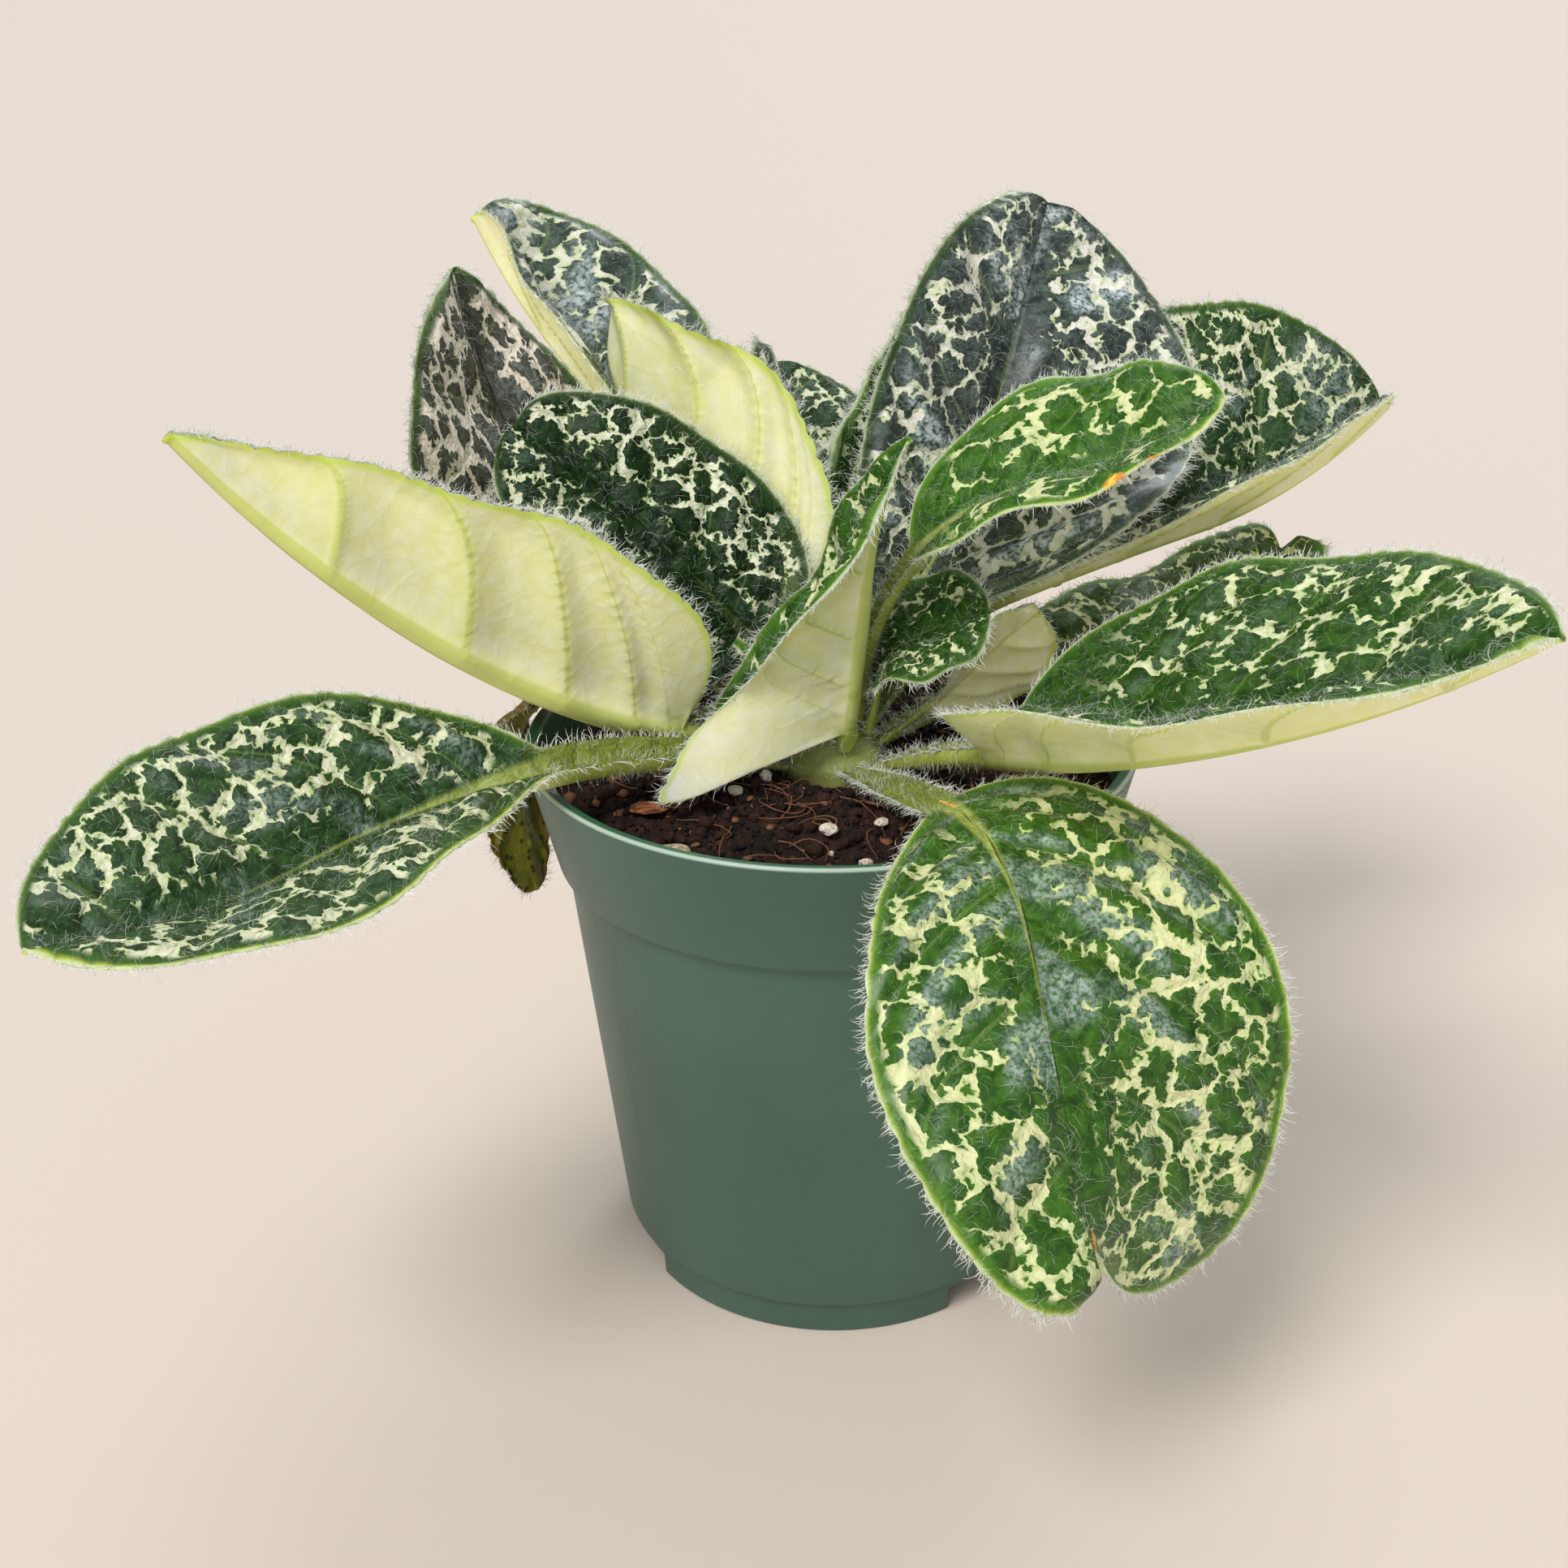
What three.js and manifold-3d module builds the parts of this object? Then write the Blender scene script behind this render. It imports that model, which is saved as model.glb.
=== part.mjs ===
// A hairy, net-patterned rosette plant in a four inch nursery pot.
// Millimetres, +Z up. The origin is on the pot's axis, on the surface that the pot stands on.
// -Y is the front of the plant and +X its right.
import * as THREE from 'three';
import { mergeVertices } from 'three/addons/utils/BufferGeometryUtils.js';
import Module from 'manifold-3d';

const wasm = await Module();
wasm.setup();

// ---- driving dimensions: pot -------------------------------------------------------------
const potHeight = 99;
const rimRadius = 52.5;
const rimWidth = 2.4;
const bandHeight = 20;
const bandFootRadius = 47.8;
const bodyTopRadius = 46.2;
const bodyFootRadius = 38.8;
const ledgeHeight = 6.8;
const footRadius = 37.2;
const footWidth = 1.8;
const footFloorHeight = 4.6;
const floorThickness = 1.5;
const wall = 1.3;
const notchAngle = 32;
const notchHeight = 4.4;
const notchCount = 3;
const firstNotch = 47.7;
const drainRadius = 4.5;
const drainCircle = 22;
const potSides = 60;
const drainSides = 16;
const edgeBreak = 0.3;
const ledgeSlope = 0.8;
const bandUndercut = 1.2;
const rimBreakWidth = 0.4;
const rimBreakHeight = 0.6;
const rimDepth = 3;
const stepAbove = 1;
const stepBelow = 2;
const floorRound = 1;
const floorInset = 2;
const cutDepth = 16;
const cutMargin = 2;
const bandFoot = potHeight - bandHeight;
const floorTop = footFloorHeight + floorThickness;

// ---- driving dimensions: soil and crown ----------------------------------------------------
const soilTop = 95;
const soilFall = 4;
const soilDip = 2.6;
const soilDipWidth = 5;
const soilReach = 49;
const soilRoughness = 0.27;
const soilFade = 4;
const soilSides = 42;
const soilRings = 10;
const ringCrowding = 0.9;
const crownRadius = 9;
const crownFoot = 80;
const crownFootInset = 1.5;
const crownFootHeight = 6;
const crownShoulder = 95;
const crownTop = 103.5;
const crownDome = 0.6;
const crownSlope = 0.85;
const crownSides = 24;
const seatGap = 0.3;

// ---- driving dimensions: leaves ------------------------------------------------------------
const bladeSkin = 0.8;
const buttDepth = 1.5;
const petioleWaist = 0.6;
const petioleFold = 15;
const ribTaper = 0.7;
const ribDepthShare = 0.9;
const leastRibExtra = 0.2;
const ribFade = 0.8;
const ribEdgeShare = 0.65;
const leafTipWidth = 0.9;
const toothHeight = 0.45;
const toothNotch = 0.6;
const toothedFrom = 0.05;
const toothedTo = 0.98;
const fullToothBlade = 50;
const fullToothWidth = 6;
const marginWave = 0.8;
const wavesPerBlade = 3;
const rightWavePhase = 1.3;

const degree = Math.PI / 180;

// ---- colours ---------------------------------------------------------------------------------
function material(name, colour, roughness) {
  return new THREE.MeshStandardMaterial({ name, color: colour, roughness, metalness: 0 });
}
const potPlastic = material('pot_plastic', 0x3f5f50, 0.42);
const soilMix = material('soil', 0x1e1511, 0.95);
const stemTissue = material('stem', 0x7f8f45, 0.6);
const leafTissue = material('leaf', 0x3c5c33, 0.5);
const oldLeafTissue = material('old_leaf', 0x6d7327, 0.6);
const grainMineral = material('grain', 0xd9c9b4, 0.9);
const barkChip = material('bark', 0x8a5636, 0.9);

// ---- small helpers ---------------------------------------------------------------------------
function mix(a, b, t) {
  return a + (b - a) * t;
}

// The soil's height at a distance from the pot's axis, before its roughness: a low dome that
// dips where the petioles leave the crown.
function soilDome(radius) {
  const dip = soilDip * Math.exp(-(((radius - crownRadius) / soilDipWidth) ** 2));
  return soilTop - soilFall * (radius / soilReach) ** 2 - dip;
}

// The same closed mesh as a manifold, for boolean cuts.
function toManifold(geometry) {
  const bare = geometry.clone();
  bare.deleteAttribute('normal');
  bare.deleteAttribute('uv');
  const merged = mergeVertices(bare, 1e-4);
  return new wasm.Manifold(new wasm.Mesh({
    numProp: 3,
    vertProperties: new Float32Array(merged.attributes.position.array),
    triVerts: new Uint32Array(merged.index.array),
  }));
}

function fromManifold(solid) {
  const mesh = solid.getMesh();
  const geometry = new THREE.BufferGeometry();
  geometry.setAttribute('position', new THREE.BufferAttribute(mesh.vertProperties, 3));
  geometry.setIndex(new THREE.BufferAttribute(mesh.triVerts, 1));
  geometry.computeVertexNormals();
  return geometry;
}

// A body of revolution about +Z from [radius, height] points that start and end on the axis.
function turned(profile, sides) {
  const points = profile.map(([radius, height]) => new THREE.Vector2(radius, height));
  const geometry = new THREE.LatheGeometry(points, sides);
  geometry.rotateX(Math.PI / 2);
  return geometry;
}

// ---- pot -----------------------------------------------------------------------------------
// The inner wall's radius at a height: a rim's width inside the band, or a wall inside the body.
function potInside(height) {
  if (height >= bandFoot) {
    return mix(bandFootRadius, rimRadius, (height - bandFoot) / bandHeight) - rimWidth;
  }
  return mix(bodyFootRadius, bodyTopRadius, (height - ledgeHeight) / (bandFoot - ledgeHeight)) - wall;
}

// The inner wall's points [radius, height] from the band down to the floor, moved in by a gap.
function insideWall(gap) {
  return [
    [potInside(bandFoot + stepAbove) - gap, bandFoot + stepAbove],
    [potInside(bandFoot - stepBelow) - gap, bandFoot - stepBelow],
    [potInside(ledgeHeight + floorRound) - gap, ledgeHeight + floorRound + gap],
    [footRadius - floorInset - gap, floorTop + gap],
    [0, floorTop + gap],
  ];
}

function makePot() {
  const shell = turned([
    [0, footFloorHeight],
    [footRadius - footWidth, footFloorHeight],
    [footRadius - footWidth, 0],
    [footRadius, 0],
    [footRadius + edgeBreak, ledgeHeight - ledgeSlope],
    [bodyFootRadius, ledgeHeight],
    [bodyTopRadius, bandFoot - bandUndercut],
    [bodyTopRadius + edgeBreak, bandFoot - edgeBreak],
    [bandFootRadius - edgeBreak, bandFoot - edgeBreak],
    [bandFootRadius, bandFoot],
    [rimRadius, potHeight - rimBreakHeight],
    [rimRadius - rimBreakWidth, potHeight],
    [rimRadius - rimWidth, potHeight - rimBreakWidth],
    [potInside(potHeight - rimDepth), potHeight - rimDepth],
    ...insideWall(0),
  ], potSides);
  let pot = toManifold(shell);
  for (let i = 0; i < notchCount; i += 1) {
    const angle = (firstNotch + (i * 360) / notchCount - 90) * degree;
    const width = 2 * footRadius * Math.sin((notchAngle / 2) * degree);
    const notch = new THREE.BoxGeometry(cutDepth, width, notchHeight + cutMargin);
    notch.translate(footRadius, 0, (notchHeight - cutMargin) / 2);
    notch.rotateZ(angle);
    pot = pot.subtract(toManifold(notch));
    const drain = new THREE.CylinderGeometry(drainRadius, drainRadius, cutDepth, drainSides);
    drain.rotateX(Math.PI / 2);
    drain.translate(drainCircle, 0, footFloorHeight);
    drain.rotateZ(angle);
    pot = pot.subtract(toManifold(drain));
  }
  return new THREE.Mesh(fromManifold(pot), potPlastic);
}

// ---- soil ----------------------------------------------------------------------------------
// Lumps of the potting mix: a few crossed waves, none at the wall and the crown. Each wave is
// its turns per millimetre along X and along Y, and where it starts.
const soilWaves = [[0.55, 0.2, 0], [-0.15, 0.62, 1.3], [0.38, 0.38, 2.1]];

function soilLumps(x, y, radius) {
  const fromWall = potInside(soilTop - soilFall) - radius;
  const fade = Math.min(1, fromWall / soilFade, (radius - crownRadius) / soilFade);
  const waves = soilWaves.map(([alongX, alongY, phase]) => Math.sin(x * alongX + y * alongY + phase));
  return soilRoughness * Math.max(0, fade) * waves.reduce((sum, wave) => sum + wave);
}

// A block of potting mix that fills the pot, with a hole for the crown.
function makeSoil() {
  const outer = potInside(soilTop - soilFall) - seatGap;
  const inner = crownRadius + seatGap;
  const profile = [[0, crownFoot - seatGap], [inner, crownFoot - seatGap]];
  for (let ring = 0; ring <= soilRings; ring += 1) {
    const radius = mix(inner, outer, (ring / soilRings) ** ringCrowding);
    profile.push([radius, soilDome(radius)]);
  }
  profile.push(...insideWall(seatGap));
  const geometry = turned(profile.reverse(), soilSides);
  const position = geometry.attributes.position;
  for (let i = 0; i < position.count; i += 1) {
    const x = position.getX(i);
    const y = position.getY(i);
    const radius = Math.hypot(x, y);
    const onTop = position.getZ(i) > crownFoot + crownFootHeight;
    if (onTop && radius > inner + 1 && radius < outer - 0.5) {
      position.setZ(i, position.getZ(i) + soilLumps(x, y, radius));
    }
  }
  return new THREE.Mesh(geometry, soilMix);
}

// ---- crown ---------------------------------------------------------------------------------
// The short stem that all the petioles grow from. Above its shoulder it narrows to a cone.
function crownRadiusAt(height) {
  return crownRadius - crownSlope * Math.max(0, height - crownShoulder);
}

function makeCrown() {
  const crown = turned([
    [0, crownFoot],
    [crownRadius - crownFootInset, crownFoot],
    [crownRadius, crownFoot + crownFootHeight],
    [crownRadius, crownShoulder],
    [crownRadiusAt(crownTop), crownTop],
    [0, crownTop + crownDome],
  ], crownSides);
  return new THREE.Mesh(crown, stemTissue);
}

// ---- leaves --------------------------------------------------------------------------------
// A leaf is one solid, petiole and blade together. Each is set by what a grower could measure:
//   turn      compass direction in which it leaves the crown, in degrees from +X towards +Y
//   start     height on the crown at which it leaves
//   petiole, blade      lengths along the midrib
//   climb     slope of the midrib at the crown, the blade's foot, its middle and its tip
//   swing     sideways turn of the midrib at the blade's foot, its middle and its tip
//   roll      twist about the midrib at the blade's foot and its tip
//   left, right         widths of the two halves, left being counterclockwise from above
//   widest, blunt       where the blade is widest, and how full its outline is (less is fuller)
//   sweep     how far the side veins lean to the tip, at the foot and the tip
//   foldLeft, foldRight how far each half is folded up, at the foot and the tip
//   stalk     half the petiole's width
const leaves = [
  {
    name: 'leaf_low_left', turn: 207, start: 95.2, petiole: 44.5, blade: 85,
    climb: [22, 1, -6.5, 14], swing: [5, 21.5, 9], roll: [-13, -9],
    left: 25.5, right: 27.5, widest: 0.57, blunt: 0.64, sweep: [-21, 15],
    foldLeft: [26, 17], foldRight: [39, 17], stalk: 3.5,
  },
  {
    name: 'leaf_left_folded', turn: 187, start: 98.4, petiole: 20, blade: 94.5,
    climb: [0, 20, 39, 51], swing: [13, 9.5, -4.5], roll: [-6, 3],
    left: 30, right: 26.5, widest: 0.32, blunt: 0.79, sweep: [-38, 20],
    foldLeft: [66, 88], foldRight: [78, 58], stalk: 3,
  },
  {
    name: 'leaf_front_drooping', turn: -69, start: 95.2, petiole: 35, blade: 77,
    climb: [17, 12, -45, -67], swing: [3, -11, 9.5], roll: [8, -24],
    left: 41.5, right: 27, widest: 0.61, blunt: 0.5, sweep: [-26, 56],
    foldLeft: [5, -11], foldRight: [-18, 0], stalk: 3.2,
  },
  {
    name: 'leaf_low_right', turn: -41, start: 95.2, petiole: 29, blade: 92,
    climb: [27, 14, 24, 38], swing: [-9, 6, 4], roll: [0, 18],
    left: 35.5, right: 30.5, widest: 0.43, blunt: 0.65, sweep: [-22, 15],
    foldLeft: [37, 14], foldRight: [40, 28], stalk: 3,
  },
  {
    name: 'leaf_upper_right', turn: 36, start: 97.8, petiole: 38, blade: 98.5,
    climb: [53, 1.5, 7, 34], swing: [6, -9.5, -7.5], roll: [30, 22],
    left: 43.5, right: 32.5, widest: 0.47, blunt: 0.58, sweep: [-7.5, 35],
    foldLeft: [29, 38], foldRight: [59, 66], stalk: 3,
  },
  {
    name: 'leaf_back_tall', turn: 54.5, start: 99.8, petiole: 19, blade: 84,
    climb: [55, 49, 47, 53], swing: [-22, 9, 11], roll: [12, 36],
    left: 25, right: 35.5, widest: 0.49, blunt: 0.56, sweep: [-4, 13],
    foldLeft: [55, 21], foldRight: [28, -8], stalk: 2.8,
  },
  {
    name: 'leaf_front_bright', turn: -4, start: 101, petiole: 32, blade: 56,
    climb: [93, 52, 12, 43], swing: [-8, -7, 5], roll: [21, 13],
    left: 22, right: 19.5, widest: 0.52, blunt: 0.58, sweep: [-4, 23],
    foldLeft: [13, 14], foldRight: [17, 26], stalk: 2.4,
  },
  {
    name: 'leaf_centre_folded', turn: -70, start: 98.4, petiole: 4, blade: 54,
    climb: [80, 84, 79, 61], swing: [45, 3, 33], roll: [53, 31],
    left: 23.5, right: 37.5, widest: 0.12, blunt: 0.63, sweep: [-55, -40],
    foldLeft: [74, 26], foldRight: [76, -9], stalk: 2,
  },
  {
    name: 'leaf_centre_small', turn: -12, start: 99.5, petiole: 8, blade: 26,
    climb: [68, 86, 26, 18], swing: [-1, 0, -1], roll: [20, 25],
    left: 13, right: 15, widest: 0.54, blunt: 0.66, sweep: [-10, 18],
    foldLeft: [9, 5], foldRight: [25, -3], stalk: 1.4,
  },
  {
    name: 'leaf_centre_left', turn: 158, start: 100.4, petiole: 14, blade: 56.5,
    climb: [61, 46, 46, 31], swing: [-5.5, 12.5, 8.5], roll: [-55, -39],
    left: 25, right: 20, widest: 0.36, blunt: 0.46, sweep: [-1, 14],
    foldLeft: [17, 10], foldRight: [5, 12], stalk: 2.2,
  },
  {
    name: 'leaf_back_upturned', turn: 125, start: 101, petiole: 18.5, blade: 73,
    climb: [68, 49, 33, 27], swing: [8, 14, -50], roll: [47, 0],
    left: 23.5, right: 17.5, widest: 0.41, blunt: 0.63, sweep: [-2, 9],
    foldLeft: [85, 82], foldRight: [63, 65], stalk: 2.2,
  },
  {
    name: 'leaf_back_left', turn: 130, start: 98, petiole: 37.5, blade: 86,
    climb: [59, 41, 19, 57], swing: [3, -7, 13], roll: [-13, -12],
    left: 23, right: 27.5, widest: 0.57, blunt: 0.63, sweep: [-2, 45],
    foldLeft: [66, 70], foldRight: [27, 0], stalk: 2.8,
  },
  {
    name: 'leaf_far_left', turn: 160.5, start: 97, petiole: 22.5, blade: 76,
    climb: [42, 37, 57, 82], swing: [7, -5.5, 4.5], roll: [-16, -7],
    left: 26, right: 16.5, widest: 0.53, blunt: 0.72, sweep: [-1, 9],
    foldLeft: [1, 2], foldRight: [25, 12], stalk: 2.6,
  },
  {
    name: 'leaf_back_small', turn: 96, start: 98.5, petiole: 24, blade: 53,
    climb: [53, 42, 40, 30], swing: [-3, 1, 15], roll: [7, 15],
    left: 17.5, right: 14.5, widest: 0.66, blunt: 0.71, sweep: [4, 14],
    foldLeft: [34, 50], foldRight: [21, 11], stalk: 2,
  },
  {
    name: 'leaf_right_cupped', turn: 8, start: 97, petiole: 9, blade: 26,
    climb: [32, 37, 44, 34], swing: [0, 1.5, -1], roll: [-59, -59],
    left: 16, right: 14, widest: 0.57, blunt: 0.68, sweep: [1, 19],
    foldLeft: [-16, -6], foldRight: [-33, -16], stalk: 1.4,
  },
  {
    name: 'leaf_right_back_low', turn: 30, start: 95.2, petiole: 24, blade: 74,
    climb: [19, 8, -2, 35], swing: [1.5, 0, 6.5], roll: [11, 10],
    left: 18, right: 20, widest: 0.6, blunt: 0.38, sweep: [3, 39],
    foldLeft: [12, 5], foldRight: [20, 15], stalk: 2.4,
  },
  {
    name: 'leaf_old_hanging', turn: 168.5, start: 94.6, petiole: 32, blade: 54,
    climb: [28, 10, -87, -104], swing: [0, -2, -6], roll: [0, 10],
    left: 8, right: 8, widest: 0.6, blunt: 0.39, sweep: [-1, 7],
    foldLeft: [15, 9], foldRight: [15, -5], stalk: 1.8,
  },
  {
    name: 'leaf_back_narrow', turn: 83, start: 101, petiole: 23, blade: 57,
    climb: [64, 58, 29, 51], swing: [2, -21, -8], roll: [5, 3],
    left: 5.5, right: 9, widest: 0.5, blunt: 0.74, sweep: [0, 10],
    foldLeft: [60, 35], foldRight: [60, 30], stalk: 1.6,
  },
  {
    name: 'leaf_inner_a', turn: 170, start: 102, petiole: 3, blade: 15,
    climb: [74, 50, 38, 36], swing: [-1, -6, 0], roll: [-5, -32],
    left: 2.2, right: 2.4, widest: 0.44, blunt: 0.59, sweep: [-10, 8],
    foldLeft: [13, -5], foldRight: [18, 15], stalk: 1.1,
  },
  {
    name: 'leaf_inner_b', turn: 195, start: 100, petiole: 5, blade: 12,
    climb: [40, 16, 8, 5], swing: [-6, -16, -9], roll: [1, -6],
    left: 2.2, right: 4, widest: 0.49, blunt: 0.76, sweep: [10, 4],
    foldLeft: [43, 20], foldRight: [35, 33], stalk: 1.1,
  },
  {
    name: 'leaf_behind_right', turn: 76, start: 95.2, petiole: 31, blade: 70,
    climb: [25, 12, -4, -18], swing: [0, 0, 0], roll: [0, 0],
    left: 23, right: 24, widest: 0.57, blunt: 0.65, sweep: [0, 12],
    foldLeft: [20, 12], foldRight: [20, 12], stalk: 2.8,
  },
  {
    name: 'leaf_behind_left', turn: 114, start: 95.2, petiole: 36, blade: 72,
    climb: [28, 14, 0, -12], swing: [0, 0, 0], roll: [0, 0],
    left: 23, right: 22, widest: 0.57, blunt: 0.65, sweep: [0, 12],
    foldLeft: [20, 12], foldRight: [20, 12], stalk: 2.8,
  },
];
const petioleSteps = 4;
const bladeSteps = 18;
const smallBladeSteps = 12;
const smallLeaf = 30;
const midribStep = 0.5;

// A setting's value at a distance along the midrib, from its values at the four places.
function along([atCrown, atFoot, atMiddle, atTip], leaf, distance) {
  const half = leaf.blade / 2;
  if (distance <= leaf.petiole) return mix(atCrown, atFoot, distance / leaf.petiole);
  if (distance <= leaf.petiole + half) return mix(atFoot, atMiddle, (distance - leaf.petiole) / half);
  return mix(atMiddle, atTip, (distance - leaf.petiole - half) / half);
}

// Directions at a distance along the midrib: ahead, to the leaf's left, and out of its top face.
function frameAt(leaf, distance) {
  const climb = along(leaf.climb, leaf, distance) * degree;
  const turn = (leaf.turn + along([0, ...leaf.swing], leaf, distance)) * degree;
  const onBlade = Math.max(0, (distance - leaf.petiole) / leaf.blade);
  const onPetiole = Math.min(1, distance / leaf.petiole);
  const roll = mix(leaf.roll[0] * onPetiole, leaf.roll[1], onBlade) * degree;
  const ahead = new THREE.Vector3(
    Math.cos(climb) * Math.cos(turn),
    Math.cos(climb) * Math.sin(turn),
    Math.sin(climb),
  );
  const left = new THREE.Vector3(-Math.sin(turn), Math.cos(turn), 0);
  const top = new THREE.Vector3().crossVectors(ahead, left);
  left.applyAxisAngle(ahead, roll);
  top.applyAxisAngle(ahead, roll);
  return { ahead, left, top };
}

// Where the petiole's top face starts, so that its cut end sits one gap off the crown.
function startOf(leaf) {
  const climb = leaf.climb[0] * degree;
  const turn = leaf.turn * degree;
  const underHeight = leaf.start - buttDepth * Math.cos(climb);
  const underRadius = crownRadiusAt(underHeight) - buttDepth * Math.sin(climb);
  const radius = Math.max(crownRadiusAt(leaf.start), underRadius) + seatGap * Math.hypot(1, crownSlope);
  return new THREE.Vector3(radius * Math.cos(turn), radius * Math.sin(turn), leaf.start);
}

// The midrib's points at each distance, walked in fine steps.
function midribOf(leaf, distances) {
  const point = startOf(leaf);
  let walked = 0;
  return distances.map((distance) => {
    const steps = Math.max(1, Math.ceil((distance - walked) / midribStep));
    const step = (distance - walked) / steps;
    for (let i = 0; i < steps; i += 1) {
      point.addScaledVector(frameAt(leaf, walked + step / 2).ahead, step);
      walked += step;
    }
    return point.clone();
  });
}

// Half the leaf's width on one side, at a fraction of the blade (0 or less on the petiole).
function halfWidth(leaf, blade, isLeft) {
  if (blade <= 0) return petioleHalf(leaf, 1 + (blade * leaf.blade) / leaf.petiole);
  const power = Math.log(0.5) / Math.log(leaf.widest);
  const outline = Math.sin(Math.PI * Math.min(1, blade) ** power) ** leaf.blunt;
  const shape = (isLeft ? leaf.left : leaf.right) * outline;
  return Math.max(leafTipWidth, Math.hypot(shape, leaf.stalk * (1 - blade)));
}

// Half the petiole's width at a fraction of its length: a waist at the crown, then full.
function petioleHalf(leaf, fraction) {
  return leaf.stalk * mix(petioleWaist, 1, Math.min(1, fraction * 2));
}

// The midrib's half width.
function ribHalf(leaf, blade) {
  if (blade <= 0) return petioleHalf(leaf, 1 + (blade * leaf.blade) / leaf.petiole);
  return Math.max(leafTipWidth, leaf.stalk * (1 - ribTaper * blade));
}

// The midrib's depth below the top face.
function ribDepth(leaf, blade) {
  const full = Math.max(bladeSkin + leastRibExtra, leaf.stalk * ribDepthShare);
  if (blade <= 0) {
    const fraction = 1 + (blade * leaf.blade) / leaf.petiole;
    return mix(buttDepth, full, Math.min(1, fraction * 2.5));
  }
  return mix(bladeSkin, full, (1 - blade) ** ribFade);
}

// One cross-section of the leaf: seven points over its top and seven under it, from right to left.
function sectionOf(leaf, distance, point, toothOut) {
  const { ahead, left, top } = frameAt(leaf, distance);
  const blade = (distance - leaf.petiole) / leaf.blade;
  const onBlade = Math.min(1, Math.max(0, blade));
  const onPetiole = Math.min(1, distance / leaf.petiole);
  const rib = ribHalf(leaf, blade);
  const depth = ribDepth(leaf, blade);
  const sweep = mix(leaf.sweep[0], leaf.sweep[1], onBlade) * onPetiole ** 2 * degree;
  const upper = [];
  const lower = [];
  for (let column = -3; column <= 3; column += 1) {
    const isLeft = column > 0;
    const side = isLeft ? 1 : -1;
    const width = halfWidth(leaf, blade, isLeft);
    const ribEdge = Math.min(ribEdgeShare * rib, 0.5 * width);
    const margin = width + toothOut * Math.min(1, width / fullToothWidth);
    const reach = [0, ribEdge, mix(ribEdge, width, 0.5), margin][Math.abs(column)];
    const [foot, tip] = isLeft ? leaf.foldLeft : leaf.foldRight;
    const fold = mix(petioleFold, mix(foot, tip, onBlade), onPetiole) * degree;
    const share = reach / width;
    const phase = isLeft ? 0 : rightWavePhase;
    const ripple = Math.sin(2 * Math.PI * wavesPerBlade * onBlade + phase) * Math.sqrt(Math.sin(Math.PI * onBlade));
    const wave = marginWave * share * share * ripple;
    const outward = left.clone().multiplyScalar(side * Math.cos(sweep)).addScaledVector(ahead, Math.sin(sweep));
    const surface = point.clone()
      .addScaledVector(outward, reach * Math.cos(fold))
      .addScaledVector(top, reach * Math.sin(fold) + wave);
    const normal = top.clone();
    if (column !== 0) {
      normal.multiplyScalar(Math.cos(fold) * Math.cos(sweep));
      normal.addScaledVector(left, -side * Math.sin(fold));
      normal.normalize();
    }
    const round = Math.sqrt(Math.max(0, 1 - (reach / rib) ** 2));
    upper.push(surface);
    lower.push(surface.clone().addScaledVector(normal, -mix(bladeSkin, Math.max(bladeSkin, depth), round)));
  }
  return { upper, lower };
}

// Distances along the midrib of the cross-sections, closer together towards the blunt tip.
function stationsOf(leaf) {
  const steps = leaf.blade < smallLeaf ? smallBladeSteps : bladeSteps;
  const stations = [];
  for (let i = 0; i < petioleSteps; i += 1) {
    stations.push((leaf.petiole * i) / petioleSteps);
  }
  for (let i = 0; i <= steps; i += 1) {
    const even = i / steps;
    stations.push(leaf.petiole + leaf.blade * mix(even, Math.sin((even * Math.PI) / 2), 0.5));
  }
  return stations;
}

// A closed leaf: its top and underside between the cross-sections, two margins and two ends.
function makeLeaf(leaf) {
  const stations = stationsOf(leaf);
  const midrib = midribOf(leaf, stations);
  const toothFull = toothHeight * Math.min(1, leaf.blade / fullToothBlade);
  const sections = stations.map((distance, i) => {
    const blade = (distance - leaf.petiole) / leaf.blade;
    const toothed = blade > toothedFrom && blade < toothedTo;
    const toothOut = toothed ? (i % 2 === 0 ? 1 : -toothNotch) * toothFull : 0;
    return sectionOf(leaf, distance, midrib[i], toothOut);
  });
  const across = 7;
  const lowerStart = sections.length * across;
  const corners = [...sections.flatMap((s) => s.upper), ...sections.flatMap((s) => s.lower)];
  const faces = [];
  const quad = (a, b, c, d) => faces.push(a, b, c, a, c, d);
  for (let i = 0; i < sections.length - 1; i += 1) {
    for (let j = 0; j < across - 1; j += 1) {
      const a = i * across + j;
      quad(a, a + across, a + across + 1, a + 1);
      faces.push(lowerStart + a, lowerStart + a + across + 1, lowerStart + a + across);
      faces.push(lowerStart + a, lowerStart + a + 1, lowerStart + a + across + 1);
    }
    const right = i * across;
    quad(right, lowerStart + right, lowerStart + right + across, right + across);
    const left = right + across - 1;
    quad(left, left + across, lowerStart + left + across, lowerStart + left);
  }
  const last = (sections.length - 1) * across;
  for (let j = 0; j < across - 1; j += 1) {
    quad(j, j + 1, lowerStart + j + 1, lowerStart + j);
    quad(last + j, lowerStart + last + j, lowerStart + last + j + 1, last + j + 1);
  }
  const geometry = new THREE.BufferGeometry().setFromPoints(corners);
  geometry.setIndex(faces);
  geometry.computeVertexNormals();
  return new THREE.Mesh(geometry, leaf.name === 'leaf_old_hanging' ? oldLeafTissue : leafTissue);
}

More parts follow.
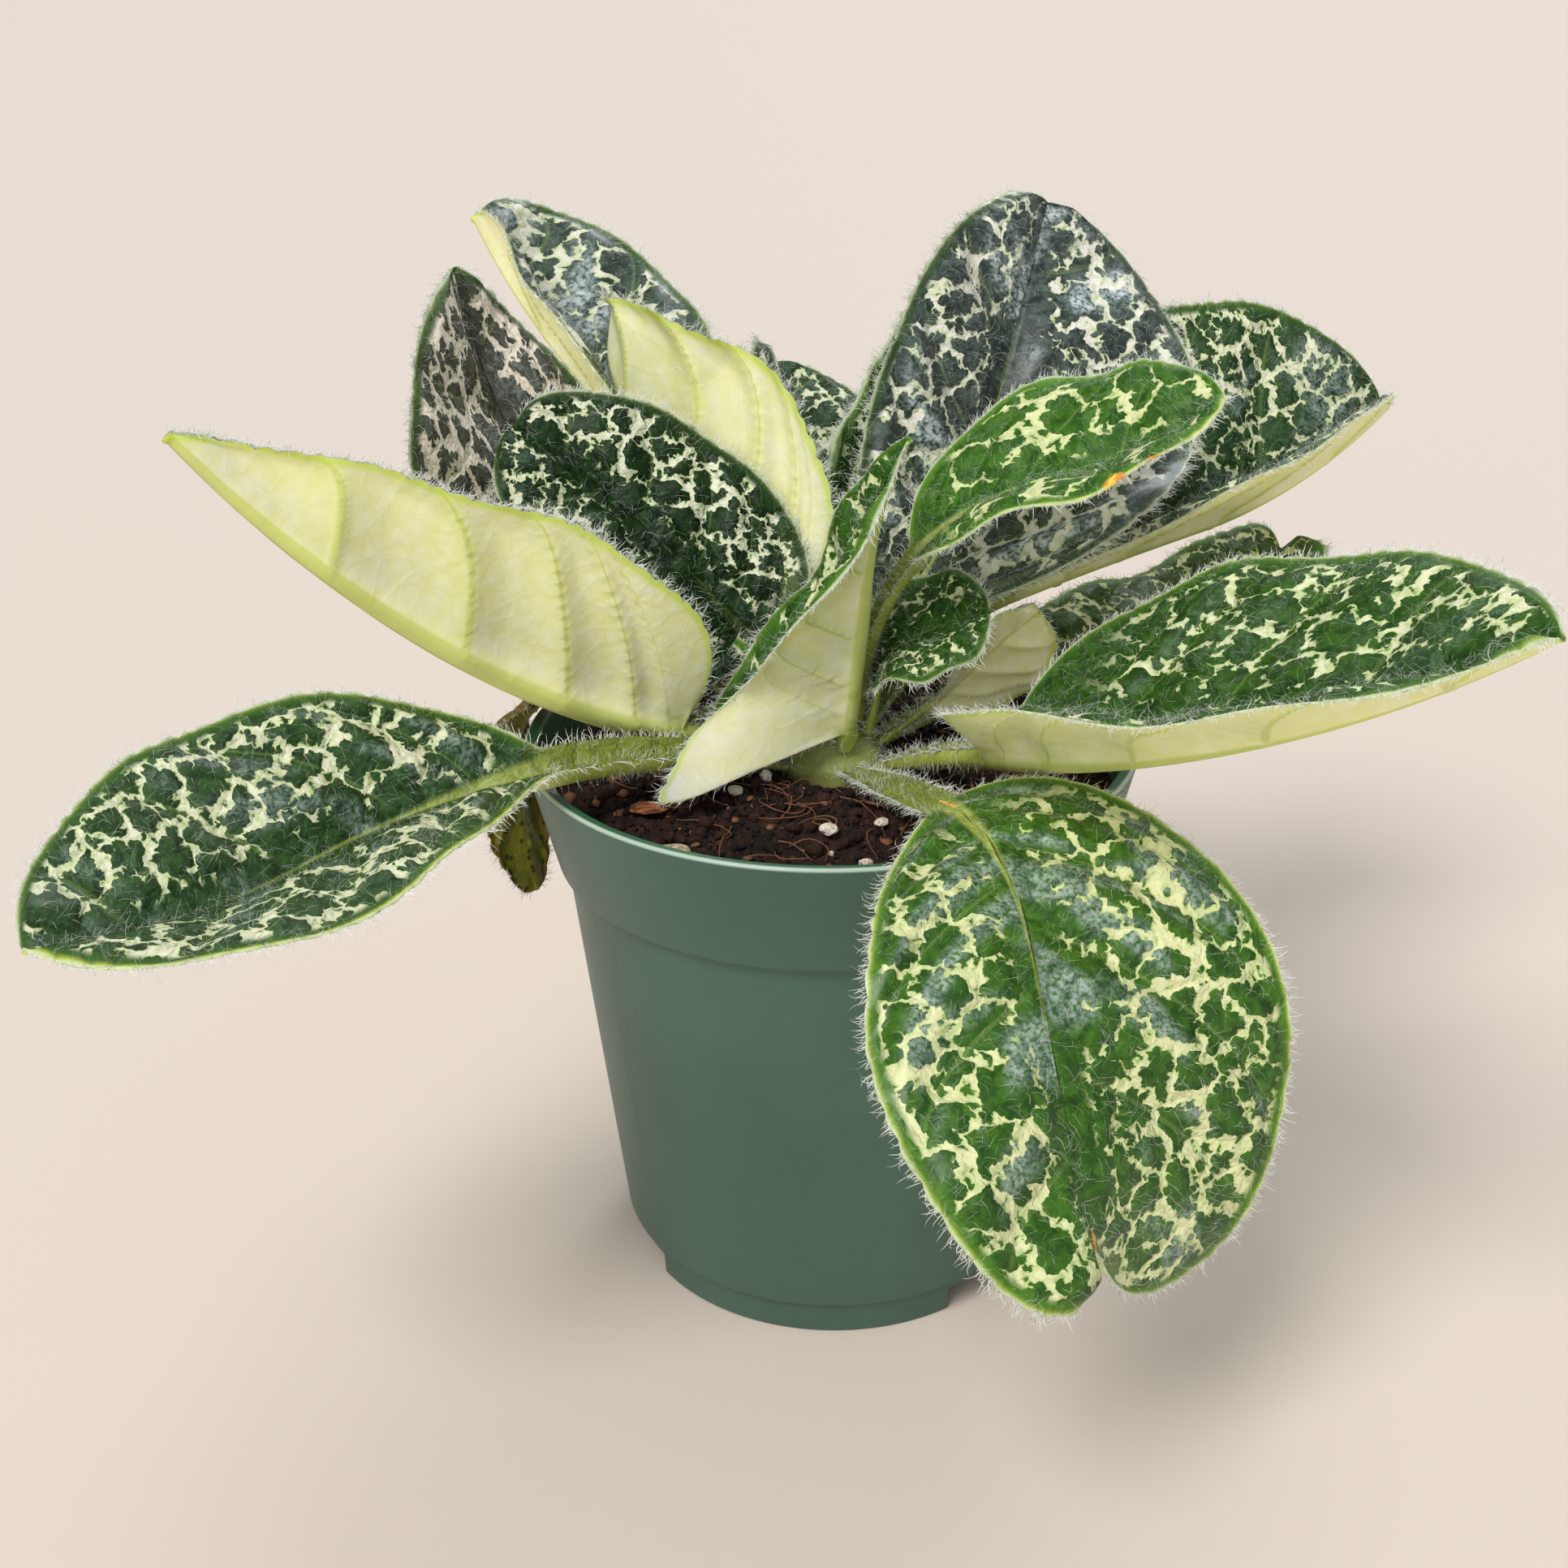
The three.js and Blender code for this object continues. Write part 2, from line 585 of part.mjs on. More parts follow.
// ---- loose grains ----------------------------------------------------------------------------
// The larger bits that lie on the soil: a bark chip, a river stone and crumbs of perlite.
const grains = [
  { name: 'bark_chip', x: -30, y: -20, size: [3.2, 2.4, 1.1], turn: 15, facets: 1, material: barkChip },
  { name: 'small_stone', x: -25.5, y: -33.5, size: [3.2, 1.5, 1], turn: -20, facets: 1, material: grainMineral },
  { name: 'perlite_a', x: -11, y: -11.5, size: [1.1, 1, 1.6], turn: 0, facets: 0, material: grainMineral },
  { name: 'perlite_b', x: -16, y: -16.5, size: [1.5, 1.2, 1], turn: 40, facets: 0, material: grainMineral },
  { name: 'perlite_c', x: -1, y: -30.5, size: [1.9, 1.5, 1.3], turn: 70, facets: 0, material: grainMineral },
  { name: 'perlite_d', x: 7.5, y: -28, size: [1.4, 1.2, 1], turn: 20, facets: 0, material: grainMineral },
  { name: 'perlite_e', x: 4.5, y: -40, size: [1.3, 1.1, 0.9], turn: 55, facets: 0, material: grainMineral },
];
const grainFlat = 0.5;

// A rough lump with a flat underside, lowered until it is one gap above the soil.
function makeGrain(grain, soil) {
  const geometry = new THREE.IcosahedronGeometry(1, grain.facets);
  const position = geometry.attributes.position;
  for (let i = 0; i < position.count; i += 1) {
    const [x, y, z] = [position.getX(i), position.getY(i), position.getZ(i)];
    const lump = 1 + 0.12 * Math.sin(5 * x + 3 * y) + 0.1 * Math.sin(4 * z - 5 * y);
    position.setXYZ(i, x * lump, y * lump, Math.max(z * lump, -grainFlat));
  }
  geometry.scale(...grain.size);
  geometry.rotateZ(grain.turn * degree);
  geometry.translate(grain.x, grain.y, potHeight);
  const down = new THREE.Vector3(0, 0, -1);
  let drop = Infinity;
  for (let i = 0; i < position.count; i += 1) {
    const from = new THREE.Vector3().fromBufferAttribute(position, i);
    const [hit] = new THREE.Raycaster(from, down).intersectObject(soil);
    drop = Math.min(drop, hit.distance);
  }
  geometry.translate(0, 0, seatGap - drop);
  geometry.computeVertexNormals();
  return new THREE.Mesh(geometry, grain.material);
}

// ---- the potted plant -------------------------------------------------------------------------
const group = new THREE.Group();

function place(name, mesh) {
  mesh.name = name;
  group.add(mesh);
}

place('pot', makePot());
const soil = makeSoil();
place('soil', soil);
place('crown', makeCrown());
leaves.forEach((leaf) => place(leaf.name, makeLeaf(leaf)));
grains.forEach((grain) => place(grain.name, makeGrain(grain, soil)));

export default group;
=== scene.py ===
# %% [markdown]
# # A hairy, net-patterned rosette in a nursery pot
# The plant is a rosette: some twenty leaves grow from one short stem, the crown, in a four
# inch nursery pot. A leaf is a fleshy petiole and a quilted blade, dark green with a cream
# net above and pale below, with fine white hairs all over. The frame that is loaded first
# holds the measured solids, and each main piece below takes the place of one of them.

# %% Load the frame
import math

import bpy
import numpy as np
from mathutils import Matrix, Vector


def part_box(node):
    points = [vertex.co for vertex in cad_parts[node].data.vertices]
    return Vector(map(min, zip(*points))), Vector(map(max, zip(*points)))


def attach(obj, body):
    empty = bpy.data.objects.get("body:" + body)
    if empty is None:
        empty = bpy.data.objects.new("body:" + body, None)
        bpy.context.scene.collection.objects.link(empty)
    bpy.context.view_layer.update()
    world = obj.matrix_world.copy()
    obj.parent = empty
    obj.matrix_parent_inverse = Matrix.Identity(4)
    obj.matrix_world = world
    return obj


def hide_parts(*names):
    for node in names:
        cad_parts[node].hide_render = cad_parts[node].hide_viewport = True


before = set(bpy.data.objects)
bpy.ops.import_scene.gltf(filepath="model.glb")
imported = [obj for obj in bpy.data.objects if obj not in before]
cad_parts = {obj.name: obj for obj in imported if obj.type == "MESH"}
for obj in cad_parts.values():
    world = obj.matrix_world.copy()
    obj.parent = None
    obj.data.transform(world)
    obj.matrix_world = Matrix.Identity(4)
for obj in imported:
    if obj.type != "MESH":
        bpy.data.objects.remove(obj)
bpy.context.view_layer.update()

MM = 0.001
print("nodes in the frame:", len(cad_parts))

# %% [markdown]
# ## Shader maths
# A finish is a few hundred sums on positions. Each sum is a node, and a page of node calls is
# hard to read, so a small class wraps a node's output and lets Python's own + - * / make the
# Math nodes. Every other node comes from one method, which sets the node's settings first.

# %% A field: values over a surface that can be added and multiplied
def operator(operation, swapped=False):
    """A method that makes one Math node from a field and what stands beside it."""
    if swapped:
        return lambda field, other: field.maths(operation, other, field)
    return lambda field, other: field.maths(operation, field, other)


class Field:
    def __init__(self, finish, socket):
        self.finish = finish
        self.socket = socket

    def maths(self, operation, *values):
        return self.finish.node("ShaderNodeMath", {"operation": operation}, dict(enumerate(values)))

    __add__, __radd__ = operator("ADD"), operator("ADD", swapped=True)
    __sub__, __rsub__ = operator("SUBTRACT"), operator("SUBTRACT", swapped=True)
    __mul__, __rmul__ = operator("MULTIPLY"), operator("MULTIPLY", swapped=True)
    __truediv__, least, most = operator("DIVIDE"), operator("MINIMUM"), operator("MAXIMUM")

    def size(self):
        return self.maths("ABSOLUTE", self)

    def from_whole(self):
        """How far the value is from the nearest whole number."""
        return (self - self.maths("ROUND", self)).size()

    def rise(self, low, high):
        """0 below low and 1 above high, with a soft slope between. low may be above high."""
        if low > high:
            return 1 - self.rise(high, low)
        sockets = {"Value": self, "From Min": low, "From Max": high}
        return self.finish.node("ShaderNodeMapRange", {"interpolation_type": "SMOOTHSTEP"}, sockets)


# %% A finish: a material, and the nodes that feed it
def paint(*colour):
    """A colour as given, from 0 to 255, made linear for the shaders."""
    parts = [part / 255 for part in colour]
    return tuple(p / 12.92 if p <= 0.04045 else ((p + 0.055) / 1.055) ** 2.4 for p in parts) + (1.0,)


class Finish:
    def __init__(self, name, **constants):
        self.material = bpy.data.materials.new(name)
        self.material.use_nodes = True
        self.tree = self.material.node_tree
        self.shader = self.tree.nodes["Principled BSDF"]
        self.feed(**constants)

    def node(self, kind, settings=None, sockets=None, output=0):
        made = self.tree.nodes.new(kind)
        for key, value in (settings or {}).items():
            setattr(made, key, value)
        for key, value in (sockets or {}).items():
            self.join(value, made.inputs[key])
        return Field(self, made.outputs[output])

    def join(self, value, socket):
        if isinstance(value, Field):
            self.tree.links.new(value.socket, socket)
        else:
            socket.default_value = value

    def feed(self, **values):
        for socket, value in values.items():
            self.join(value, self.shader.inputs[socket.replace("_", " ")])

    def place(self):
        return self.node("ShaderNodeTexCoord", output=3)

    def attributes(self, names):
        """The values that the mesh keeps at its points, one field for each name."""
        settings = [{"attribute_name": name} for name in names.split()]
        return [self.node("ShaderNodeAttribute", setting, output=2) for setting in settings]

    def vector(self, x, y, z=0.0):
        return self.node("ShaderNodeCombineXYZ", sockets={0: x, 1: y, 2: z})

    def arrows(self, operation, a, b):
        """Vector Math on two vectors, or on a vector and a number to SCALE it by."""
        sockets = {0: a, ("Scale" if operation == "SCALE" else 1): b}
        return self.node("ShaderNodeVectorMath", {"operation": operation}, sockets)

    def noise(self, vector, scale, detail, output=0):
        sockets = {"Vector": vector, "Scale": scale, "Detail": detail}
        return self.node("ShaderNodeTexNoise", sockets=sockets, output=output)

    def cells(self, vector, scale, feature="F1", dimensions="2D", output=0):
        settings = {"feature": feature, "voronoi_dimensions": dimensions}
        return self.node("ShaderNodeTexVoronoi", settings, {"Vector": vector, "Scale": scale}, output)

    def blend(self, share, first, second):
        """Two colours mixed. Each is a field, or red, green and blue as paint takes them."""
        first, second = [paint(*c) if isinstance(c, tuple) else c for c in (first, second)]
        sockets = {0: share, 6: first, 7: second}
        return self.node("ShaderNodeMix", {"data_type": "RGBA"}, sockets, output=2)

    def coats(self, colour, *layers):
        """A colour with others laid over it in turn, each by its own share."""
        for share, over in layers:
            colour = self.blend(share, colour, over)
        return colour

    def raised(self, height, reach):
        return self.node("ShaderNodeBump", sockets={"Height": height, "Distance": reach})

# %% [markdown]
# ## Making and handing over a piece
# Operators act on whatever is selected, and the loaded solids start out selected. So each
# piece begins by deselecting everything. At the end a piece says which solid it stands for.

# %% Helpers for pieces
def start_clean():
    bpy.ops.object.select_all(action="DESELECT")


def added(primitive, **settings):
    """What the operator adds, as the only thing that is selected."""
    start_clean()
    primitive(**settings)
    return bpy.context.object


def hand_over(piece, name, slot, nodes, *finishes):
    """Names a piece, gives it its finishes, and says what it rides on and stands for."""
    piece.name = name
    piece.data.name = name
    materials = piece.data.materials
    for number, finish in enumerate(finishes):
        if number < len(materials):
            materials[number] = finish.material
        else:
            materials.append(finish.material)
    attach(piece, "root")
    if nodes:
        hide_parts(*nodes)


def apply_modifier(piece, kind, **settings):
    modifier = piece.modifiers.new(kind, kind)
    for key, value in settings.items():
        setattr(modifier, key, value)
    bpy.context.view_layer.objects.active = piece
    bpy.ops.object.modifier_apply(modifier=modifier.name)


def smooth(piece, angle):
    start_clean()
    piece.select_set(True)
    bpy.context.view_layer.objects.active = piece
    bpy.ops.object.shade_smooth_by_angle(angle=math.radians(angle))


def points_of(piece):
    points = np.zeros(len(piece.data.vertices) * 3)
    piece.data.vertices.foreach_get("co", points)
    return points.reshape(-1, 3)


def set_points(piece, points):
    piece.data.vertices.foreach_set("co", np.ascontiguousarray(points, np.float32).ravel())
    piece.data.update()


def mesh_piece(name, points, faces):
    """A new piece from points in millimetres and faces of one length."""
    mesh = bpy.data.meshes.new(name)
    mesh.vertices.add(len(points))
    mesh.vertices.foreach_set("co", np.ascontiguousarray(points * MM, np.float32).ravel())
    mesh.loops.add(faces.size)
    mesh.loops.foreach_set("vertex_index", np.ascontiguousarray(faces, np.int32).ravel())
    mesh.polygons.add(len(faces))
    starts = np.arange(0, faces.size, faces.shape[1], dtype=np.int32)
    mesh.polygons.foreach_set("loop_start", starts)
    mesh.update()
    mesh.validate()
    piece = bpy.data.objects.new(name, mesh)
    bpy.context.scene.collection.objects.link(piece)
    return piece


# %% Helpers for numbers
def unit(vectors):
    return vectors / np.maximum(np.linalg.norm(vectors, axis=-1, keepdims=True), 1e-9)


def mix(a, b, t):
    return a + (b - a) * t


def step(values, low, high):
    """0 below low, 1 above high and smooth between."""
    t = np.clip((values - low) / (high - low), 0, 1)
    return t * t * (3 - 2 * t)


def ring_of(radius, bearing, height):
    """Places round the pot's axis."""
    return np.stack([radius * np.cos(bearing), radius * np.sin(bearing), height], -1)


print("helpers ready")

# %% [markdown]
# ## The pot
# A nursery pot is a thin moulded shell: a tapered body, a wider band at the top that the next
# pot nests on, a low foot ring with three notches that let water out, and drain holes. A
# lathe profile is the natural way. Here one disc is extruded and resized from point to point,
# which keeps the shell closed. The corners are rounded first, because moulded plastic has no
# sharp edge, and that is what catches the thin line of light on the rim.

# %% The pot's measures, in millimetres
pot_height = 99.0
rim_radius = 52.5
rim_width = 2.4
band_foot = 79.0
band_foot_radius = 47.8
body_top_radius = 46.2
body_foot_radius = 38.8
ledge_height = 6.8
foot_radius = 37.2
foot_width = 1.8
foot_floor = 4.6
wall = 1.3
floor_top = foot_floor + wall + 0.2
notch_angle = 32
notch_height = 4.4
first_notch = 47.7
drain_radius = 4.5
drain_circle = 22.0
cutter_depth = 16.0
drill_depth = 10.0
print("pot:", 2 * rim_radius, "mm across its rim and", pot_height, "mm high")


# %% How to turn a closed solid
def pot_inside(height):
    """The inner wall's radius at a height."""
    if height >= band_foot:
        up_band = (height - band_foot) / (pot_height - band_foot)
        return mix(band_foot_radius, rim_radius, up_band) - rim_width
    up_body = (height - ledge_height) / (band_foot - ledge_height)
    return mix(body_foot_radius, body_top_radius, up_body) - wall


def rounded(profile, radius):
    """The profile with each of its corners turned into a short curve."""
    profile = [np.array(point, float) for point in profile]
    points = [profile[0]]
    for before, corner, after in zip(profile, profile[1:], profile[2:]):
        arms = [before - corner, after - corner]
        cut = min([radius] + [0.45 * np.linalg.norm(arm) for arm in arms])
        start, end = [corner + arm / np.linalg.norm(arm) * cut for arm in arms]
        for t in (0, 1 / 3, 2 / 3, 1):
            points.append((1 - t) ** 2 * start + 2 * t * (1 - t) * corner + t * t * end)
    return points + [profile[-1]]


def turned(profile, sides):
    """A closed solid: a disc at the first point, extruded and resized to each next point."""
    radius, height = profile[0]
    piece = added(
        bpy.ops.mesh.primitive_circle_add,
        vertices=sides, radius=radius * MM, fill_type="NGON", location=(0, 0, height * MM),
    )
    bpy.ops.object.transform_apply(location=True)
    bpy.ops.object.mode_set(mode="EDIT")
    bpy.ops.mesh.select_all(action="SELECT")
    for next_radius, next_height in profile[1:]:
        lift = (next_height - height) * MM
        bpy.ops.mesh.extrude_region_move(TRANSFORM_OT_translate={"value": (0, 0, lift)})
        share = next_radius / radius
        bpy.ops.transform.resize(value=(share, share, 1), center_override=(0, 0, next_height * MM))
        radius, height = next_radius, next_height
    bpy.ops.mesh.select_all(action="SELECT")
    bpy.ops.mesh.normals_make_consistent(inside=False)
    bpy.ops.object.mode_set(mode="OBJECT")
    return piece


print("the pot's wall is", round(pot_inside(band_foot), 2), "mm from its axis at the band")

# %% Turn the pot
pot_profile = [
    [foot_radius - foot_width - 6, foot_floor],
    [foot_radius - foot_width, foot_floor],
    [foot_radius - foot_width, 0],
    [foot_radius, 0],
    [foot_radius + 0.3, ledge_height - 0.8],
    [body_foot_radius, ledge_height],
    [body_top_radius, band_foot - 1.2],
    [body_top_radius + 0.3, band_foot - 0.3],
    [band_foot_radius - 0.3, band_foot - 0.3],
    [band_foot_radius, band_foot],
    [rim_radius, pot_height - 0.6],
    [rim_radius - 0.4, pot_height],
    [rim_radius - rim_width, pot_height - 0.4],
    [pot_inside(pot_height - 3), pot_height - 3],
    [pot_inside(band_foot + 1), band_foot + 1],
    [pot_inside(band_foot - 2), band_foot - 2],
    [pot_inside(ledge_height + 1), ledge_height + 1],
    [foot_radius - 2, floor_top],
    [foot_radius - 8, floor_top],
]
pot = turned(rounded(pot_profile, 0.5), 192)
print("pot:", len(pot.data.polygons), "faces as turned")


# %% Cut its notches and drain holes
def cut_from(piece, cutter):
    bpy.context.view_layer.objects.active = cutter
    bpy.ops.object.transform_apply(location=True, rotation=True, scale=True)
    apply_modifier(piece, "BOOLEAN", operation="DIFFERENCE", object=cutter, solver="EXACT")
    bpy.data.objects.remove(cutter)


notch_width = 2 * foot_radius * math.sin(math.radians(notch_angle / 2))
for third in range(3):
    angle = math.radians(first_notch + third * 120 - 90)
    spot = ring_of(foot_radius, angle, notch_height / 2 - 1) * MM
    cutter = added(bpy.ops.mesh.primitive_cube_add, size=1, location=spot, rotation=(0, 0, angle))
    cutter.scale = (cutter_depth * MM, notch_width * MM, (notch_height + 2) * MM)
    cut_from(pot, cutter)
    spot = ring_of(drain_circle, angle, foot_floor) * MM
    drill = added(
        bpy.ops.mesh.primitive_cylinder_add,
        vertices=40, radius=drain_radius * MM, depth=drill_depth * MM, location=spot,
    )
    cut_from(pot, drill)
smooth(pot, 30)
print("pot:", len(pot.data.polygons), "faces")

# %% [markdown]
# ## The pot's plastic
# The real pot is moulded from dull grey-green plastic. Up close it has a fine grain from the
# mould and faint cloudy patches from handling, and its rim's flat top is a deeper green with
# a pale line along its outer edge. All of that comes from noise on the object's own
# coordinates, with the pale line found from the height and the distance from the axis.

# %% Pot plastic
plastic = Finish("pot_plastic", IOR=1.5)
place = plastic.place()
parts = plastic.node("ShaderNodeSeparateXYZ", sockets={0: place}).socket.node.outputs
x, y, z = [Field(plastic, part) for part in parts]
square = x * x + y * y
from_axis = square.maths("SQRT", square)
clouds = plastic.noise(place, 28.0, 3.0)
grain = plastic.noise(place, 1500.0, 2.0)
marks = plastic.noise(plastic.arrows("MULTIPLY", place, (240.0, 240.0, 9.0)), 1.0, 2.0)
rim_top = z.rise((pot_height - 0.7) * MM, (pot_height - 0.3) * MM)
# a pale line along the outer edge of the rim's flat top
rim_edge_line = rim_top * from_axis.rise((rim_radius - 0.8) * MM, (rim_radius - 0.4) * MM)
green = plastic.coats(
    plastic.blend(clouds.rise(0.3, 0.75), (58, 88, 74), (66, 98, 84)),
    (rim_top, (38, 98, 74)),
    (rim_edge_line * 0.75, (196, 212, 200)),
)
plastic.feed(
    Base_Color=green,
    Roughness=0.36 + clouds * 0.14 + marks.rise(0.55, 0.8) * 0.05,
    Normal=plastic.raised(grain + clouds * 0.6, 0.00006),
)
hand_over(pot, "pot_moulded", "pot_plastic", ["pot"], plastic)
print("plastic:", len(plastic.tree.nodes), "nodes")

# %% [markdown]
# ## The soil
# The mix is dark peat and coir in crumbs of a millimetre or two, with white grains of
# perlite, a bark chip and a stone, and fine roots that lie on top. A turned block fills the
# pot, and its top is then pushed up and down in code, because no one tool makes crumbs at
# three sizes. Loose crumbs on top break up the smooth look.

# %% The soil's measures
soil_top = 95.0
soil_fall = 4.0
soil_dip = 2.6
soil_dip_width = 5.0
soil_reach = 49.0
lump_height = 0.27
lump_fade = 4.0
crown_radius = 9.0
crown_foot = 80.0
seat_gap = 0.3
soil_wall = pot_inside(soil_top - soil_fall)
soil_edge = soil_wall - seat_gap
soil_inner = crown_radius + seat_gap
rng = np.random.default_rng(41)
# each wave of the crumbs: the way it runs, its pitch and its height
crumb_waves = (
    (0.3, 4.1, 0.5), (1.7, 3.1, 0.45), (2.6, 2.3, 0.35), (0.9, 1.7, 0.3), (2.1, 1.2, 0.22),
)


def soil_height(x, y):
    """The soil's height under a point, with its dome, the dip round the crown and its lumps."""
    radius = np.hypot(x, y)
    dome = soil_top - soil_fall * (radius / soil_reach) ** 2
    dome = dome - soil_dip * np.exp(-(((radius - crown_radius) / soil_dip_width) ** 2))
    fade = np.clip(np.minimum(soil_wall - radius, radius - crown_radius) / lump_fade, 0, 1)
    waves = np.sin(x * 0.55 + y * 0.2) + np.sin(y * 0.62 - x * 0.15 + 1.3)
    waves = waves + np.sin((x + y) * 0.38 + 2.1)
    return dome + lump_height * fade * waves


def crumbs_of(x, y):
    """Fine relief: a sum of waves that cross at odd angles, sharpened into crumbs."""
    total = np.zeros_like(x)
    for turn, pitch, size in crumb_waves:
        along = x * math.cos(turn) + y * math.sin(turn)
        across = y * math.cos(turn) - x * math.sin(turn)
        total += size * np.sin(2 * np.pi * along / pitch + 1.7 * np.sin(across / pitch * 2.2))
    return total * 0.55


print("soil:", round(pot_height - float(soil_height(0.0, -45.0)), 1), "mm under the rim near the wall")

# %% Turn the soil and roughen its top
soil_rings = 64
soil_profile = [
    [20.0, floor_top + seat_gap],
    [foot_radius - 2 - seat_gap, floor_top + seat_gap],
    [pot_inside(ledge_height + 1) - seat_gap, ledge_height + 1.3],
    [pot_inside(band_foot - 2) - seat_gap, band_foot - 2],
    [pot_inside(band_foot + 1) - seat_gap, band_foot + 1],
]
for ring in range(soil_rings + 1):
    radius = mix(soil_edge, soil_inner, ring / soil_rings)
    soil_profile.append([radius, float(soil_height(np.array(radius), np.array(0.0)))])
soil_profile += [[soil_inner, crown_foot - seat_gap], [soil_inner - 3, crown_foot - seat_gap]]
soil = turned(soil_profile, 288)
spots = points_of(soil) / MM
radius = np.hypot(spots[:, 0], spots[:, 1])
on_top = (spots[:, 2] > band_foot + 6) & (radius > soil_inner + 0.2) & (radius < soil_edge - 0.1)
fade = step(radius, soil_inner, soil_inner + 2) * (1 - step(radius, soil_edge - 1.5, soil_edge))
height = soil_height(spots[:, 0], spots[:, 1]) + crumbs_of(spots[:, 0], spots[:, 1]) * fade
spots[on_top, 2] = height[on_top]
set_points(soil, spots * MM)
smooth(soil, 60)
print("soil:", len(soil.data.polygons), "faces")

# %% Soil finish
peat = Finish("soil_mix", IOR=1.4)
place = peat.place()
coarse = peat.noise(place, 260.0, 4.0)
fine = peat.noise(place, 1400.0, 3.0)
brown = peat.blend(coarse.rise(0.35, 0.7), (14, 8, 6), (52, 28, 20))
peat.feed(
    Base_Color=peat.blend(fine.rise(0.56, 0.74), brown, (86, 50, 36)),
    Roughness=0.8 + fine * 0.2,
    Normal=peat.raised(coarse + fine * 0.6, 0.0006),
)
hand_over(soil, "soil_mix", "soil", ["soil"], peat)
print("peat:", len(peat.tree.nodes), "nodes")

# %% [markdown]
# ## Crumbs and roots
# One crumb is modelled, a coarse icosphere with its points pushed about. It is then copied
# a few thousand times with its own turn, size and place, all into one mesh, because that
# many objects would slow every tool down.

# %% Copies of one shape in a single mesh
def copies_of(name, spots, faces):
    """One mesh from each copy's points (count, points, 3), in millimetres, and the faces of one."""
    offsets = np.arange(len(spots))[:, None, None] * spots.shape[1]
    return mesh_piece(name, spots.reshape(-1, 3), (faces[None] + offsets).reshape(-1, faces.shape[1]))


def swung(points, one, other, angle):
    """Each copy's points, turned by its own angle in the plane of two of the axes."""
    cos, sin = np.cos(angle)[:, None], np.sin(angle)[:, None]
    moved = points.copy()
    moved[..., one] = points[..., one] * cos - points[..., other] * sin
    moved[..., other] = points[..., one] * sin + points[..., other] * cos
    return moved


def strands(name, paths, widths, sides=3):
    """Closed tubes along paths (count, points, 3) with a half width at each point, in millimetres."""
    count, rings, _ = paths.shape
    ahead = unit(np.gradient(paths, axis=1))
    upright = np.abs(ahead[..., 2:]) > 0.9
    helper = np.where(upright, np.array([1.0, 0, 0]), np.array([0, 0, 1.0]))
    side = unit(np.cross(ahead, helper))
    over = np.cross(side, ahead)
    angles = (np.arange(sides) * 2 * np.pi / sides)[:, None]
    ring = side[:, :, None] * np.cos(angles) + over[:, :, None] * np.sin(angles)
    spots = paths[:, :, None] + ring * widths[:, :, None, None]
    spots = np.concatenate([spots[:, :-1].reshape(count, -1, 3), paths[:, -1:]], 1)
    tip = (rings - 1) * sides
    faces = []
    for k in range(rings - 2):
        for j in range(sides):
            a, b = k * sides + j, k * sides + (j + 1) % sides
            faces += [[a, a + sides, b + sides], [a, b + sides, b]]
    faces += [[tip - sides + j, tip, tip - sides + (j + 1) % sides] for j in range(sides)]
    faces += [[0, j, j + 1] for j in range(1, sides - 1)]
    return copies_of(name, spots, np.array(faces))

# %% Crumbs on the soil
crumb = added(bpy.ops.mesh.primitive_ico_sphere_add, subdivisions=1, radius=1)
spots = points_of(crumb)
set_points(crumb, spots * (1 + rng.uniform(-0.3, 0.3, (len(spots), 1))) * np.array([1.2, 0.9, 0.75]))
crumb_points = points_of(crumb)
crumb_faces = np.array([list(face.vertices) for face in crumb.data.polygons])
bpy.data.objects.remove(crumb)
crumb_margin = 1.2


def lie_on_soil(name, finish, count, smallest, spread, rarity, flatness):
    """Crumbs strewn on the soil in one mesh. The higher rarity is, the fewer are large."""
    size = smallest + spread * rng.random(count) ** rarity
    nearest, farthest = crown_radius + crumb_margin, soil_edge - crumb_margin
    radius = np.sqrt(rng.uniform(nearest ** 2, farthest ** 2, count))
    bearing = rng.uniform(0, 2 * np.pi, count)
    x, y = radius * np.cos(bearing), radius * np.sin(bearing)
    places = np.stack([x, y, soil_height(x, y) + crumbs_of(x, y) + size * 0.2], -1)
    sizes = size[:, None] * rng.uniform(0.7, 1.3, (count, 3)) * np.array([1, 1, flatness])
    turn = rng.uniform(0, 2 * np.pi, count)
    lean = rng.normal(0, 0.5, count)
    spots = swung(swung(crumb_points[None] * sizes[:, None], 1, 2, lean), 0, 1, turn)
    crumbs = copies_of(name, spots + places[:, None], crumb_faces)
    hand_over(crumbs, name, "soil", (), finish)
    print(name, count, "of", len(crumb_faces), "faces")


lie_on_soil("soil_crumbs", peat, count=3200, smallest=0.4, spread=0.9, rarity=3, flatness=1.0)

# %% Fine roots that lie on the soil
root_count = 60
root_points = 14
bearing = rng.uniform(np.radians(195), np.radians(345), root_count)
radius = rng.uniform(14, 38, root_count)
heading = rng.uniform(0, 2 * np.pi, root_count)
curl = rng.normal(0, 0.22, root_count)
length = rng.uniform(6, 17, root_count)
paths = np.zeros((root_count, root_points, 3))
paths[:, 0] = ring_of(radius, bearing, 0 * radius)
for k in range(1, root_points):
    heading = heading + curl + rng.normal(0, 0.15, root_count)
    hop = (length / root_points)[:, None] * np.stack([np.cos(heading), np.sin(heading)], -1)
    paths[:, k, :2] = paths[:, k - 1, :2] + hop
reach = np.hypot(paths[..., 0], paths[..., 1])
paths = paths[(reach.max(1) < soil_edge - 1) & (reach.min(1) > crown_radius + 1)]
hump = np.sin(np.linspace(0, np.pi, root_points)) * 0.9
paths[..., 2] = soil_height(paths[..., 0], paths[..., 1]) + 0.5 + hump
taper = mix(0.14, 0.05, np.linspace(0, 1, root_points))
